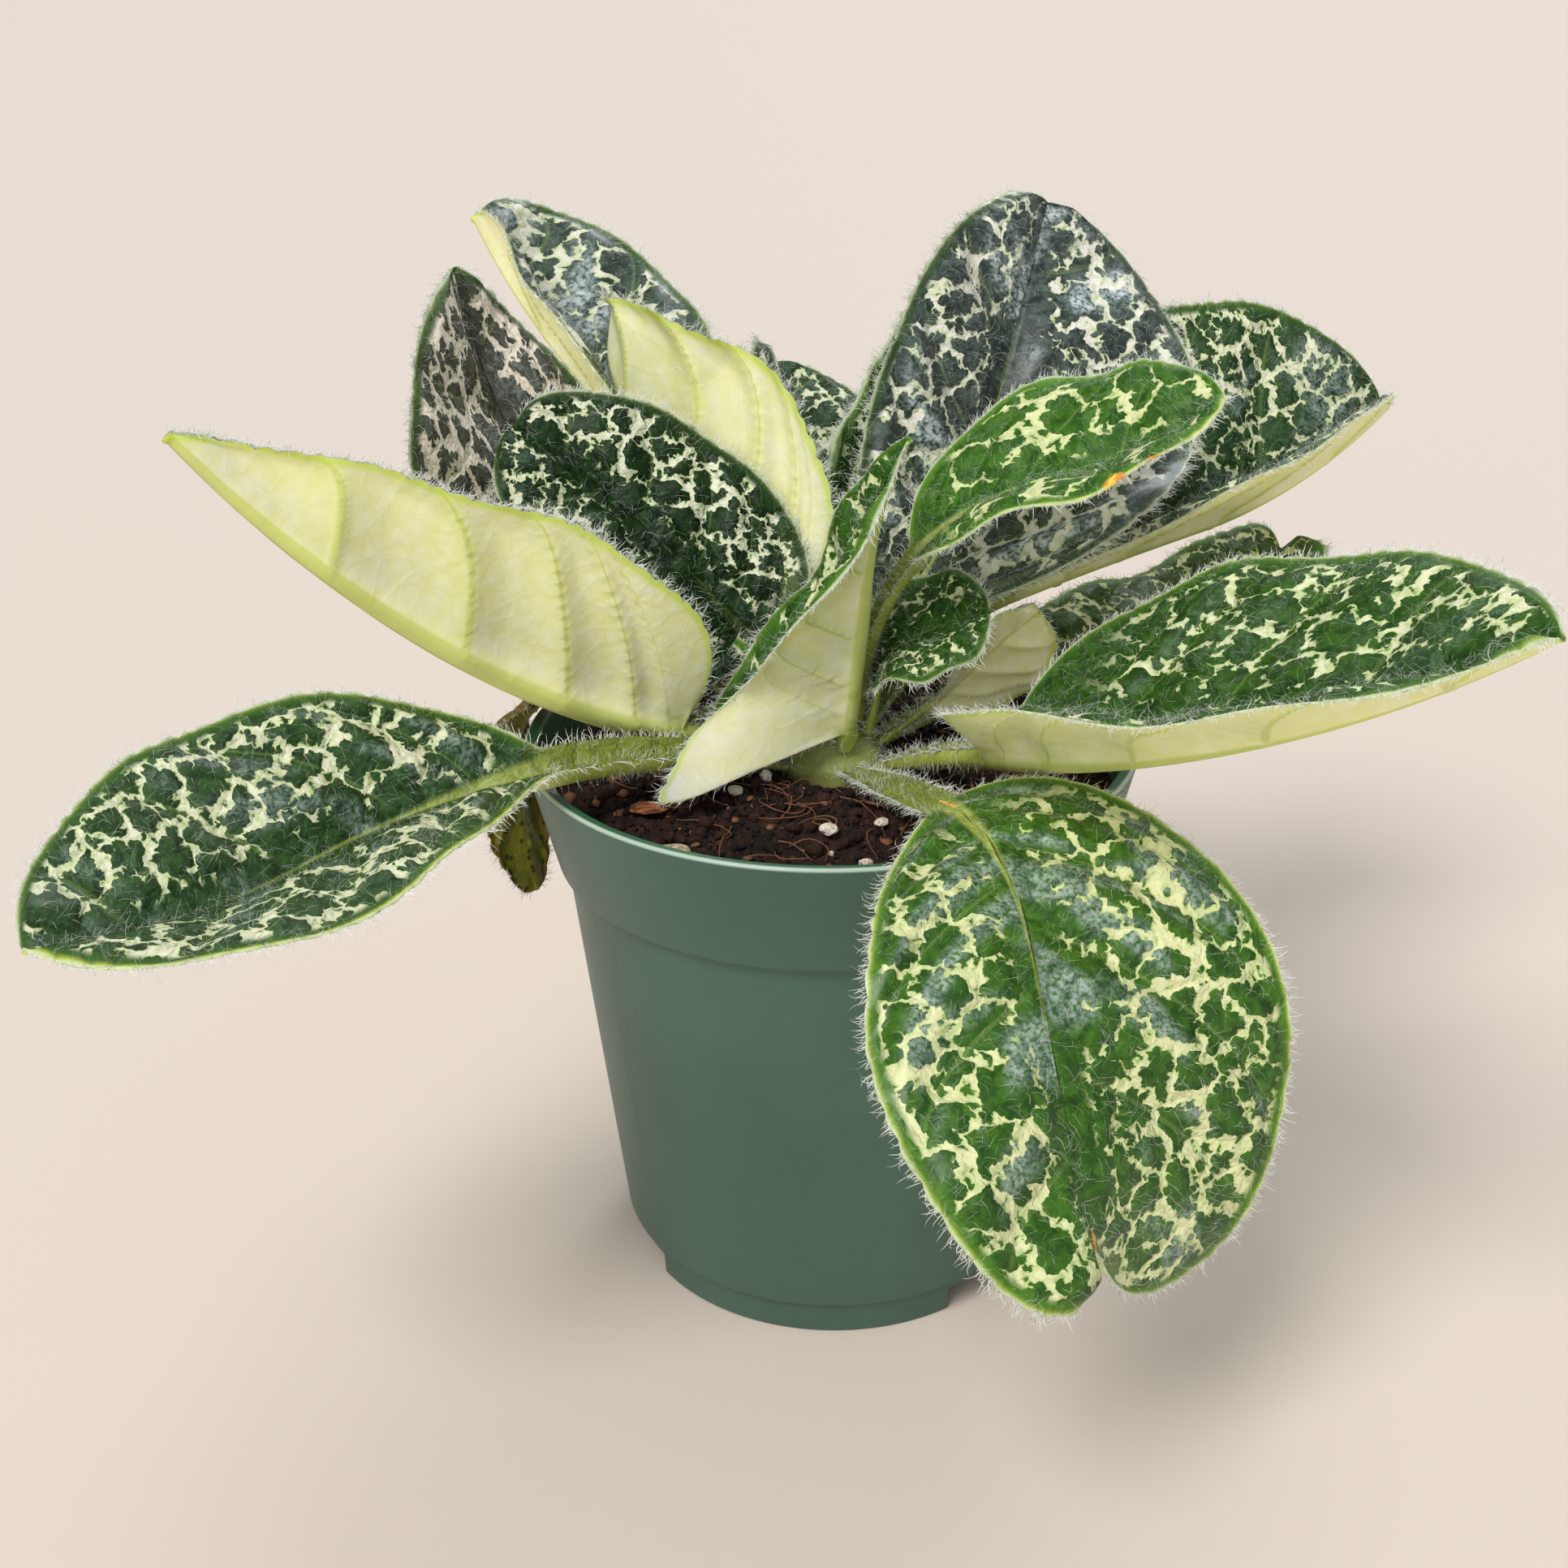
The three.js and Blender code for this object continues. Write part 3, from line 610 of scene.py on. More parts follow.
widths = np.repeat(taper[None], len(paths), 0) * rng.uniform(0.7, 1.3, (len(paths), 1))
roots = strands("fine_roots", paths, widths, sides=6)
smooth(roots, 60)
bark_brown = Finish("root_bark", Roughness=0.7)
streak = bark_brown.noise(bark_brown.place(), 700.0, 3.0)
bark_brown.feed(
    Base_Color=bark_brown.blend(streak, (72, 36, 24), (158, 106, 76)),
    Normal=bark_brown.raised(streak, 0.0002),
)
hand_over(roots, "fine_roots", "soil", (), bark_brown)
print("roots:", len(paths))
lie_on_soil("bark_flakes", bark_brown, count=260, smallest=0.4, spread=1.1, rarity=2, flatness=0.35)

# %% [markdown]
# ## Loose grains
# The larger bits that show on the soil are a bark chip, a river stone and five crumbs of
# perlite. Each starts as an icosphere scaled to its measured node's box, so it rests where
# the measured one does, and is chipped by pushing its points with a few waves.

# %% Grain finishes
perlite = Finish("perlite", Roughness=0.85)
place = perlite.place()
pores = perlite.cells(place, 1900.0, dimensions="3D")
dust = perlite.noise(place, 420.0, 3.0)
white = perlite.blend(dust.rise(0.4, 0.75), (238, 226, 212), (206, 176, 156))
white = perlite.blend(pores.rise(0.32, 0.12) * 0.5, white, (150, 120, 100))
perlite.feed(Base_Color=white, Normal=perlite.raised(pores, 0.0003))
chip = Finish("bark_chip", Roughness=0.8)
fibres = chip.noise(chip.arrows("MULTIPLY", chip.place(), (1.0, 3.0, 3.0)), 420.0, 4.0)
orange = chip.blend(fibres.rise(0.35, 0.7), (86, 44, 24), (176, 104, 60))
chip.feed(Base_Color=orange, Normal=chip.raised(fibres, 0.0006))
stone = Finish("river_stone", Roughness=0.6)
speckle = stone.noise(stone.place(), 900.0, 4.0)
speckled = stone.blend(speckle.rise(0.4, 0.65), (206, 190, 164), (150, 128, 100))
stone.feed(Base_Color=speckled, Normal=stone.raised(speckle, 0.0002))
print("grain finishes: perlite, bark chip and stone")

# %% Make each grain in its node's place
# each grain: its slot, its finish and how deeply it is chipped
grain_kinds = {"bark_chip": ("bark", chip, 0.16), "small_stone": ("grain", stone, 0.05)}
grain_kinds.update({"perlite_" + letter: ("grain", perlite, 0.13) for letter in "abcde"})
for node, (slot, finish, chipped) in grain_kinds.items():
    low, high = [np.array(corner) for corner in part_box(node)]
    piece = added(bpy.ops.mesh.primitive_ico_sphere_add, subdivisions=4, radius=1)
    spots = points_of(piece)
    shove = np.zeros(len(spots))
    for k in range(5):
        way = unit(rng.normal(size=3))
        shove += np.sin(spots @ way * (3 + 2 * k) + rng.uniform(0, 6)) / (1 + k)
    spots = spots * (1 + chipped * shove[:, None])
    spots = spots - (spots.min(0) + spots.max(0)) / 2
    spots = spots / spots.max(0) * (high - low) / 2 + (low + high) / 2
    set_points(piece, spots)
    smooth(piece, 60)
    hand_over(piece, node + "_worn", slot, [node], finish)
print("grains:", len(grain_kinds))
lie_on_soil("perlite_dust", perlite, count=120, smallest=0.2, spread=0.45, rarity=2, flatness=1.0)

# %% [markdown]
# ## The leaf's shape
# A leaf is set by what a grower could measure: the direction and height at which it leaves
# the crown, its lengths, the slope, turn and twist of its midrib, the width of its two
# halves and how far each is folded up. The measured solids use the same numbers, so the
# detailed leaf lies exactly where its solid does. A grid is added, Solidify turns it into a
# closed sheet with an underside and an edge, and every point then goes to its place on the
# leaf. No sculpting tool keeps to measured numbers as well as that.

# %% Each leaf's measures
leaf_keys = (
    "name", "turn", "start", "petiole", "blade", "climb", "swing", "roll",
    "left", "right", "widest", "blunt", "sweep", "fold_left", "fold_right", "stalk",
)
leaf_rows = [
    ("low_left", 207, 95.2, 44.5, 85, (22, 1, -6.5, 14), (5, 21.5, 9), (-13, -9),
     25.5, 27.5, 0.57, 0.64, (-21, 15), (26, 17), (39, 17), 3.5),
    ("left_folded", 187, 98.4, 20, 94.5, (0, 20, 39, 51), (13, 9.5, -4.5), (-6, 3),
     30, 26.5, 0.32, 0.79, (-38, 20), (66, 88), (78, 58), 3),
    ("front_drooping", -69, 95.2, 35, 77, (17, 12, -45, -67), (3, -11, 9.5), (8, -24),
     41.5, 27, 0.61, 0.5, (-26, 56), (5, -11), (-18, 0), 3.2),
    ("low_right", -41, 95.2, 29, 92, (27, 14, 24, 38), (-9, 6, 4), (0, 18),
     35.5, 30.5, 0.43, 0.65, (-22, 15), (37, 14), (40, 28), 3),
    ("upper_right", 36, 97.8, 38, 98.5, (53, 1.5, 7, 34), (6, -9.5, -7.5), (30, 22),
     43.5, 32.5, 0.47, 0.58, (-7.5, 35), (29, 38), (59, 66), 3),
    ("back_tall", 54.5, 99.8, 19, 84, (55, 49, 47, 53), (-22, 9, 11), (12, 36),
     25, 35.5, 0.49, 0.56, (-4, 13), (55, 21), (28, -8), 2.8),
    ("front_bright", -4, 101, 32, 56, (93, 52, 12, 43), (-8, -7, 5), (21, 13),
     22, 19.5, 0.52, 0.58, (-4, 23), (13, 14), (17, 26), 2.4),
    ("centre_folded", -70, 98.4, 4, 54, (80, 84, 79, 61), (45, 3, 33), (53, 31),
     23.5, 37.5, 0.12, 0.63, (-55, -40), (74, 26), (76, -9), 2),
    ("centre_small", -12, 99.5, 8, 26, (68, 86, 26, 18), (-1, 0, -1), (20, 25),
     13, 15, 0.54, 0.66, (-10, 18), (9, 5), (25, -3), 1.4),
    ("centre_left", 158, 100.4, 14, 56.5, (61, 46, 46, 31), (-5.5, 12.5, 8.5), (-55, -39),
     25, 20, 0.36, 0.46, (-1, 14), (17, 10), (5, 12), 2.2),
    ("back_upturned", 125, 101, 18.5, 73, (68, 49, 33, 27), (8, 14, -50), (47, 0),
     23.5, 17.5, 0.41, 0.63, (-2, 9), (85, 82), (63, 65), 2.2),
    ("back_left", 130, 98, 37.5, 86, (59, 41, 19, 57), (3, -7, 13), (-13, -12),
     23, 27.5, 0.57, 0.63, (-2, 45), (66, 70), (27, 0), 2.8),
    ("far_left", 160.5, 97, 22.5, 76, (42, 37, 57, 82), (7, -5.5, 4.5), (-16, -7),
     26, 16.5, 0.53, 0.72, (-1, 9), (1, 2), (25, 12), 2.6),
    ("back_small", 96, 98.5, 24, 53, (53, 42, 40, 30), (-3, 1, 15), (7, 15),
     17.5, 14.5, 0.66, 0.71, (4, 14), (34, 50), (21, 11), 2),
    ("right_cupped", 8, 97, 9, 26, (32, 37, 44, 34), (0, 1.5, -1), (-59, -59),
     16, 14, 0.57, 0.68, (1, 19), (-16, -6), (-33, -16), 1.4),
    ("right_back_low", 30, 95.2, 24, 74, (19, 8, -2, 35), (1.5, 0, 6.5), (11, 10),
     18, 20, 0.6, 0.38, (3, 39), (12, 5), (20, 15), 2.4),
    ("old_hanging", 168.5, 94.6, 32, 54, (28, 10, -87, -104), (0, -2, -6), (0, 10),
     8, 8, 0.6, 0.39, (-1, 7), (15, 9), (15, -5), 1.8),
    ("back_narrow", 83, 101, 23, 57, (64, 58, 29, 51), (2, -21, -8), (5, 3),
     5.5, 9, 0.5, 0.74, (0, 10), (60, 35), (60, 30), 1.6),
    ("inner_a", 170, 102, 3, 15, (74, 50, 38, 36), (-1, -6, 0), (-5, -32),
     2.2, 2.4, 0.44, 0.59, (-10, 8), (13, -5), (18, 15), 1.1),
    ("inner_b", 195, 100, 5, 12, (40, 16, 8, 5), (-6, -16, -9), (1, -6),
     2.2, 4, 0.49, 0.76, (10, 4), (43, 20), (35, 33), 1.1),
    ("behind_right", 76, 95.2, 31, 70, (25, 12, -4, -18), (0, 0, 0), (0, 0),
     23, 24, 0.57, 0.65, (0, 12), (20, 12), (20, 12), 2.8),
    ("behind_left", 114, 95.2, 36, 72, (28, 14, 0, -12), (0, 0, 0), (0, 0),
     23, 22, 0.57, 0.65, (0, 12), (20, 12), (20, 12), 2.8),
]
leaves = [dict(zip(leaf_keys, row)) for row in leaf_rows]
print("leaves:", len(leaves))

# %% The midrib: directions and points along it
butt_depth = 1.5
blade_skin = 0.8
tip_width = 0.9
crown_shoulder = 95.0
crown_top = 103.5
crown_slope = 0.85
midrib_steps = 600


def crown_radius_at(height):
    return crown_radius - crown_slope * max(0.0, height - crown_shoulder)


def along(values, leaf, distance):
    """A value given at the crown, at the blade's foot, at its middle and at its tip."""
    foot, tip = leaf["petiole"], leaf["petiole"] + leaf["blade"]
    return np.interp(distance, [0, foot, (foot + tip) / 2, tip], values)


def directions(leaf, distance):
    """Ahead, to the leaf's left, and out of its top face, at each distance along the midrib."""
    climb = np.radians(along(leaf["climb"], leaf, distance))
    turn = np.radians(leaf["turn"] + along((0,) + leaf["swing"], leaf, distance))
    on_blade = np.clip((distance - leaf["petiole"]) / leaf["blade"], 0, 1)
    on_petiole = np.clip(distance / leaf["petiole"], 0, 1)
    roll = np.radians(mix(leaf["roll"][0] * on_petiole, leaf["roll"][1], on_blade))[:, None]
    ahead = np.stack([np.cos(climb) * np.cos(turn), np.cos(climb) * np.sin(turn), np.sin(climb)], -1)
    left = np.stack([-np.sin(turn), np.cos(turn), np.zeros_like(turn)], -1)
    top = np.cross(ahead, left)
    return ahead, left * np.cos(roll) + top * np.sin(roll), top * np.cos(roll) - left * np.sin(roll)


def midrib(leaf, distances):
    """Points along the midrib, which starts one seat gap off the crown's side."""
    climb, turn = math.radians(leaf["climb"][0]), math.radians(leaf["turn"])
    low_end = leaf["start"] - butt_depth * math.cos(climb)
    under = crown_radius_at(low_end) - butt_depth * math.sin(climb)
    radius = max(crown_radius_at(leaf["start"]), under) + seat_gap * math.hypot(1, crown_slope)
    first = np.array([radius * math.cos(turn), radius * math.sin(turn), leaf["start"]])
    walk = np.linspace(0, leaf["petiole"] + leaf["blade"], midrib_steps)
    ahead = directions(leaf, (walk[1:] + walk[:-1]) / 2)[0]
    points = np.concatenate([first[None], first + np.cumsum(ahead * np.diff(walk)[:, None], 0)])
    return np.stack([np.interp(distances, walk, points[:, k]) for k in range(3)], -1)


reached = [float(np.hypot(*midrib(leaf, [leaf["petiole"] + leaf["blade"]])[0, :2])) for leaf in leaves]
print("the farthest leaf tip is", round(max(reached)), "mm from the axis")


# %% Widths and depths along the leaf
# blade is how far along the blade a point is, from 0 to 1, and it is below 0 on the petiole
def petiole_half(leaf, blade):
    fraction = 1 + blade * leaf["blade"] / leaf["petiole"]
    return leaf["stalk"] * mix(0.6, 1.0, np.clip(fraction * 2, 0, 1))


def half_width(leaf, blade, side):
    on_blade = np.clip(blade, 0, 1)
    power = math.log(0.5) / math.log(leaf["widest"])
    outline = np.maximum(0, np.sin(np.pi * on_blade ** power)) ** leaf["blunt"]
    shape = np.maximum(tip_width, np.hypot(leaf[side] * outline, leaf["stalk"] * (1 - on_blade)))
    return np.where(blade <= 0, petiole_half(leaf, blade), shape)


def rib_half(leaf, blade):
    on_blade = np.maximum(tip_width, leaf["stalk"] * (1 - 0.7 * blade))
    return np.where(blade <= 0, petiole_half(leaf, blade), on_blade)


def rib_depth(leaf, blade):
    full = max(blade_skin + 0.2, leaf["stalk"] * 0.9)
    fraction = 1 + blade * leaf["blade"] / leaf["petiole"]
    on_petiole = mix(butt_depth, full, np.clip(fraction * 2.5, 0, 1))
    return np.where(blade <= 0, on_petiole, mix(blade_skin, full, (1 - np.clip(blade, 0, 1)) ** 0.8))


halves = [round(float(half_width(leaves[0], 0.5, side)), 1) for side in ("left", "right")]
print("the first leaf's halves are", halves, "mm wide")

# %% [markdown]
# ## Relief on the blade
# The side veins leave the midrib every dozen millimetres and curve towards the tip. Above,
# the blade bulges between them like a quilt. Below, the same veins stand proud. Both come
# from one number per point, which counts the side veins from the foot.

# %% Across the leaf: how far out each column of points lies
tooth_height = 0.45
tooth_pitch = 3.4
rib_columns = 4
half_columns = 21


def columns_of(leaf, blade):
    """Each point's side, half width, rib's half width, reach and share of the half width."""
    columns = np.arange(-half_columns, half_columns + 1)[None]
    count = np.abs(columns)
    side = np.where(columns > 0, 1.0, -1.0)
    width = np.where(side > 0, half_width(leaf, blade, "left"), half_width(leaf, blade, "right"))
    rib = rib_half(leaf, blade)
    edge = np.minimum(0.8 * rib, 0.5 * width)
    outer = np.clip((count - rib_columns) / (half_columns - rib_columns), 0, 1)
    reach = np.where(count <= rib_columns, edge * count / rib_columns, mix(edge, width, outer ** 0.92))
    share = reach / width
    toothed = step(blade, 0.03, 0.09) * step(1 - blade, 0.01, 0.04) * min(1, leaf["blade"] / 50)
    uneven = 0.45 * np.sin(blade * leaf["blade"] * 0.31 + side)
    uneven = uneven + 0.3 * np.sin(blade * leaf["blade"] * 0.83)
    tooth = np.abs(np.sin(np.pi * blade * leaf["blade"] / tooth_pitch + uneven)) ** 0.8 - 0.62
    tooth = tooth * (1.2 + uneven) * tooth_height * toothed
    return side, width, rib, reach + tooth * np.clip(width / 6, 0, 1) * share ** 5, share


print("columns of points across a leaf:", 2 * half_columns + 1)

# %% Veins, and the relief that they give
vein_lean = 0.45
vein_curve = 0.3
vein_hook = 6.0
veins_per_side = 5.5
quilt_height = 1.7
ridge_height = 0.45
groove_depth = 0.25
margin_skin = 0.5


def veins_of(leaf, side, share, across, along_mm):
    """How many side veins lie between a point and the leaf's foot, and how far that is."""
    out = np.abs(across)
    widest = np.where(side > 0, leaf["left"], leaf["right"])
    run = along_mm - vein_lean * out - vein_curve * out ** 2 / widest - vein_hook * share ** 6
    veins = veins_per_side * np.sqrt(np.clip(run / leaf["blade"], 0, 1))
    return veins + np.where(side > 0, 0.5, 0.0), run


def relief_of(leaf, blade, rib, reach, share, veins, run):
    """How far the top face and the underside lie from the leaf's middle surface."""
    from_vein = np.abs(veins - np.round(veins))
    open_blade = step(reach, rib, rib + 4) * step(blade, 0.0, 0.08)
    bulge = np.sin(np.pi * np.clip(from_vein * 2, 0, 1) * 0.5) ** 0.8
    bulge = bulge * open_blade * (1 - step(share, 0.8, 1.0))
    lift = min(1.0, leaf["blade"] / 70) * bulge * step(run, 0.0, 6.0)
    groove = (1 - step(np.abs(reach), 0, 0.45 * rib + 0.4)) * step(blade, -0.05, 0.05) * groove_depth
    skin = mix(blade_skin, margin_skin, step(share, 0.7, 1.0))
    round_rib = np.sqrt(np.clip(1 - (reach / rib) ** 2, 0, 1))
    depth = mix(skin, np.maximum(blade_skin, rib_depth(leaf, blade)), round_rib)
    vein_fade = step(share, 0.0, 0.1) * (1 - step(share, 0.75, 0.97)) * step(blade, 0.02, 0.1)
    vein_gap = leaf["blade"] / veins_per_side * 1.3
    ridge = (1 - step(from_vein * vein_gap, 0.2, 1.0)) * vein_fade * step(run, 0.5, 3.0)
    return quilt_height * lift - 0.45 - groove, 1.6 * lift - 0.3 - depth - ridge_height * ridge


print("side veins on each half of a blade:", veins_per_side)

# %% The whole leaf as points
margin_wave = 0.8
waves_per_blade = 3
petiole_fold = 15.0


def leaf_points(leaf, rows_petiole, rows_blade):
    """Top and underside points of the leaf as grids, with what its finish needs to know."""
    even = np.linspace(0, 1, rows_blade + 1)
    stations = np.concatenate([
        np.linspace(0, leaf["petiole"], rows_petiole + 1)[:-1],
        leaf["petiole"] + leaf["blade"] * mix(even, np.sin(even * np.pi / 2), 0.5),
    ])
    spine = midrib(leaf, stations)[:, None]
    ahead, left, top = [way[:, None] for way in directions(leaf, stations)]
    blade = ((stations - leaf["petiole"]) / leaf["blade"])[:, None]
    on_blade = np.clip(blade, 0, 1)
    on_petiole = np.clip(stations / leaf["petiole"], 0, 1)[:, None]
    side, width, rib, reach, share = columns_of(leaf, blade)
    sweep = np.radians(mix(*leaf["sweep"], on_blade) * on_petiole ** 2)
    halves = np.where(side > 0, mix(*leaf["fold_left"], on_blade), mix(*leaf["fold_right"], on_blade))
    fold = np.radians(mix(petiole_fold, halves, on_petiole))
    ripple = np.sin(2 * np.pi * waves_per_blade * on_blade + np.where(side > 0, 0, 1.3))
    wave = margin_wave * share ** 2 * ripple * np.sqrt(np.sin(np.pi * on_blade))
    cell = lambda value: value[..., None]
    outward = left * cell(side * np.cos(sweep)) + ahead * cell(np.sin(sweep))
    surface = spine + outward * cell(reach * np.cos(fold)) + top * cell(reach * np.sin(fold) + wave)
    half_normal = unit(top * cell(np.cos(fold) * np.cos(sweep)) - left * cell(side * np.sin(fold)))
    normal = unit(mix(top, half_normal, cell(step(reach, 0, 0.65 * rib))))
    flat_across = side * reach * np.hypot(np.cos(fold) * np.cos(sweep), np.sin(fold))
    flat_along = blade * leaf["blade"] + reach * np.sin(sweep) * np.cos(fold)
    veins, run = veins_of(leaf, side, share, flat_across, flat_along)
    above, below = relief_of(leaf, blade, rib, reach, share, veins, run)
    vein_part = np.clip(1.6 * np.sqrt(np.clip(run / leaf["blade"], 0, 1)), 0, 1)
    facts = {
        "across_mm": flat_across, "along_mm": flat_along, "share": share,
        "edge_mm": width - np.minimum(reach, width), "blade_part": blade, "rib_part": reach / rib,
        "veins": veins, "vein_part": vein_part * min(1.0, (leaf["blade"] / 80) ** 2),
    }
    return surface + normal * cell(above), surface + normal * cell(below), facts


print("each point of a leaf knows:", ", ".join(leaf_points(leaves[0], 2, 2)[2]))

# %% How each leaf's looks differ
# Each look: its usual value, and the leaves that differ. fresh is how young and bright a leaf is,
# the grey sheen how far its islands are greyed and its net whitened, a painted reflection of the sky,
# shine how much coat gloss and painted highlight its skin has, dusk how purple it is and
# rib_pale how pale its midrib is. net_across and net_along make the net finer, net_much makes it
# wider, and net_from is how far from the leaf's foot it starts.
fineness = dict(
    centre_small=1.5, right_cupped=2.0, centre_left=1.3, back_left=0.65, front_bright=0.85,
)
leaf_looks = {
    "fresh": (0.2, dict(
        front_drooping=0.85, low_right=0.5, front_bright=0.9, centre_small=0.45, centre_folded=0.7,
        upper_right=0.3, right_cupped=0.8, inner_a=0.9, inner_b=0.9, centre_left=0.0,
        right_back_low=0.75, back_tall=0.05, low_left=0.35,
    )),
    # painted reflection of the sky: how far these leaves' islands are greyed and their net whitened
    "silver": (0.0, dict(
        back_tall=0.9, far_left=0.4, back_left=0.7, upper_right=0.15, back_small=0.3, low_left=0.15,
        back_upturned=0.3,
    )),
    "shine": (0.1, dict(
        back_tall=1.2, back_left=1.1, front_drooping=0.65, low_left=0.4, upper_right=0.5,
        far_left=0.2, front_bright=0.0, centre_small=0.0, right_back_low=0.0,
    )),
    "dusk": (0.0, dict(far_left=0.9, right_back_low=0.3, left_folded=0.2)),
    "rib_pale": (1.0, dict(centre_left=0.1, back_left=0.4, low_right=0.7)),
    "net_across": (1.0, dict(fineness, far_left=1.8, low_right=1.05)),
    "net_along": (1.0, dict(fineness, far_left=1.1, low_right=0.75)),
    "net_much": (1.0, dict(
        low_right=0.78, centre_small=0.75, front_bright=0.9, far_left=1.35, back_left=0.95,
        right_back_low=0.8,
    )),
    "net_from": (0.22, dict(front_drooping=0.32, low_right=0.5, front_bright=0.4, far_left=0.1)),
}
# light painted on the left and the right margin, as if it shone through them, and burnt spots: side,
# part and size
usual_glow = (0.15, 0.15)
edge_glow = dict(
    front_bright=(0.2, 1.0), low_left=(0.9, 0.3), front_drooping=(0.6, 0.6),
    upper_right=(0.2, 0.8), low_right=(0.3, 0.6), back_left=(0.9, 0.2),
)
rust_spots = dict(
    front_bright=((-0.98, 0.6, 1.5), (-0.98, 0.7, 1.1)),
    front_drooping=((0.05, 1.0, 3.0), (0.1, 0.0, 3.0)),
)
print("looks that differ from leaf to leaf:", ", ".join(leaf_looks))


# %% Put a grid on the leaf
def grid_sheet(rows, columns):
    """A grid with an underside and an edge, with each point's row, column and side."""
    grid = bpy.ops.mesh.primitive_grid_add
    sheet = added(grid, x_subdivisions=columns - 1, y_subdivisions=rows - 1, size=2)
    for _ in ("top", "underside"):
        sheet.data.materials.append(None)
    apply_modifier(
        sheet, "SOLIDIFY", thickness=1.0, offset=-1.0, material_offset=1, material_offset_rim=0
    )
    spots = points_of(sheet)
    row = np.rint((spots[:, 1] + 1) / 2 * (rows - 1)).astype(int)
    column = np.rint((1 - spots[:, 0]) / 2 * (columns - 1)).astype(int)
    return sheet, row, column, spots[:, 2] < -0.5


def looks_of(leaf, number, facts):
    """The leaf's number, looks, margins painted as if lit from behind, and burnt spots, each a value
    for every point.
    """
    name, is_left = leaf["name"], facts["across_mm"] > 0
    looks = {key: special.get(name, usual) for key, (usual, special) in leaf_looks.items()}
    looks["leaf_number"] = number
    looks["edge_glow"] = np.where(is_left, *edge_glow.get(name, usual_glow))
    looks["rust"] = np.zeros(is_left.shape)
    for side, part, size in rust_spots.get(name, ()):
        off_side = np.where(is_left, 1, -1) * facts["share"] - side
        off_side = off_side * leaf["left" if side > 0 else "right"]
        off_part = (facts["blade_part"] - part) * leaf["blade"]
        looks["rust"] += np.exp(-(off_side ** 2 + off_part ** 2) / size ** 2)
    return looks


def make_leaf(leaf, number):
    rows_petiole = max(6, int(leaf["petiole"] / 1.6))
    rows_blade = 48 if leaf["blade"] < 30 else int(leaf["blade"] / 0.62)
    upper, lower, facts = leaf_points(leaf, rows_petiole, rows_blade)
    rows, columns = upper.shape[:2]
    sheet, row, column, below = grid_sheet(rows, columns)
    places = np.where(below[:, None], lower[row, column], upper[row, column])
    set_points(sheet, places * MM)
    for key, values in {**facts, **looks_of(leaf, number, facts)}.items():
        layer = sheet.data.attributes.new(key, "FLOAT", "POINT")
        values = np.broadcast_to(values, (rows, columns))[row, column]
        layer.data.foreach_set("value", values.astype(np.float32))
    smooth(sheet, 70)
    return sheet, upper, lower, facts

# %% [markdown]
# ## The leaf's finishes
# Above, the dark green is broken by a cream net, which is widest halfway out, fades at the
# midrib and stops short of the margin. Its dark islands have round lobes like an oak leaf.
# Two nested Voronoi textures do the same. The small cells ask the large ones how far their
# own middles are from an edge, and the distance from that middle rounds off each lobe. The
# edges of cells that are smaller still fray the cream.

# %% Upper face of the leaves: where things lie
upper_face = Finish("leaf_upper", IOR=1.4, Specular_IOR_Level=0.3, Coat_Roughness=0.25)
noise, cells, blend, coats = upper_face.noise, upper_face.cells, upper_face.blend, upper_face.coats
leaf_facts = "across_mm along_mm share edge_mm blade_part rib_part veins vein_part leaf_number"
(
    across_mm, along_mm, share, edge_mm, blade_part, rib_part, veins, vein_part, leaf_number,
) = upper_face.attributes(leaf_facts)
fresh, silver, shine, dusk, rib_pale, net_across, net_along, net_much, net_from = (
    upper_face.attributes("fresh silver shine dusk rib_pale net_across net_along net_much net_from")
)
glow, rust = upper_face.attributes("edge_glow rust")
# each leaf has its own part of the patterns, so it is set off by its number
number_across, number_up = 91.3, 31.7
# cells to the millimetre: the islands, their lobes and the frayed edge
island_scale, lobe_scale, fray_scale = 0.14, 0.5, 0.8
spot = upper_face.vector(
    (across_mm + leaf_number * number_across) * net_across, along_mm * net_along,
    leaf_number * number_up,
)


def pushed(places, scale, detail, reach):
    """The places, each pushed to one side by a noise on the leaf."""
    push = upper_face.arrows("SUBTRACT", noise(spot, scale, detail, output=1), (0.5, 0.5, 0.5))
    return upper_face.arrows("ADD", places, upper_face.arrows("SCALE", push, reach))


def edge_distance(places, scale):
    """How far each place is from an edge of its cell, in millimetres."""
    return cells(places, scale, "DISTANCE_TO_EDGE") / scale


bent = pushed(pushed(spot, 0.25, 2.0, 3.4), 1.1, 1.0, 1.1)
to_edge = edge_distance(bent, island_scale)
small_edge = edge_distance(bent, fray_scale)
lobe = cells(bent, lobe_scale) / lobe_scale
middle_to_edge = edge_distance(cells(bent, lobe_scale, output=2), island_scale)
patches = noise(spot, 0.12, 1.0)
# where the painted highlights lie: long bands beside the side veins
sheen = noise(upper_face.vector(veins * 1.7, across_mm * 0.07, leaf_number * 7.3), 1.0, 1.0)
frayed = noise(spot, 1.5, 2.0)
mottle = noise(bent, 0.5, 3.0)
print("upper face:", len(upper_face.tree.nodes), "nodes for where things lie")

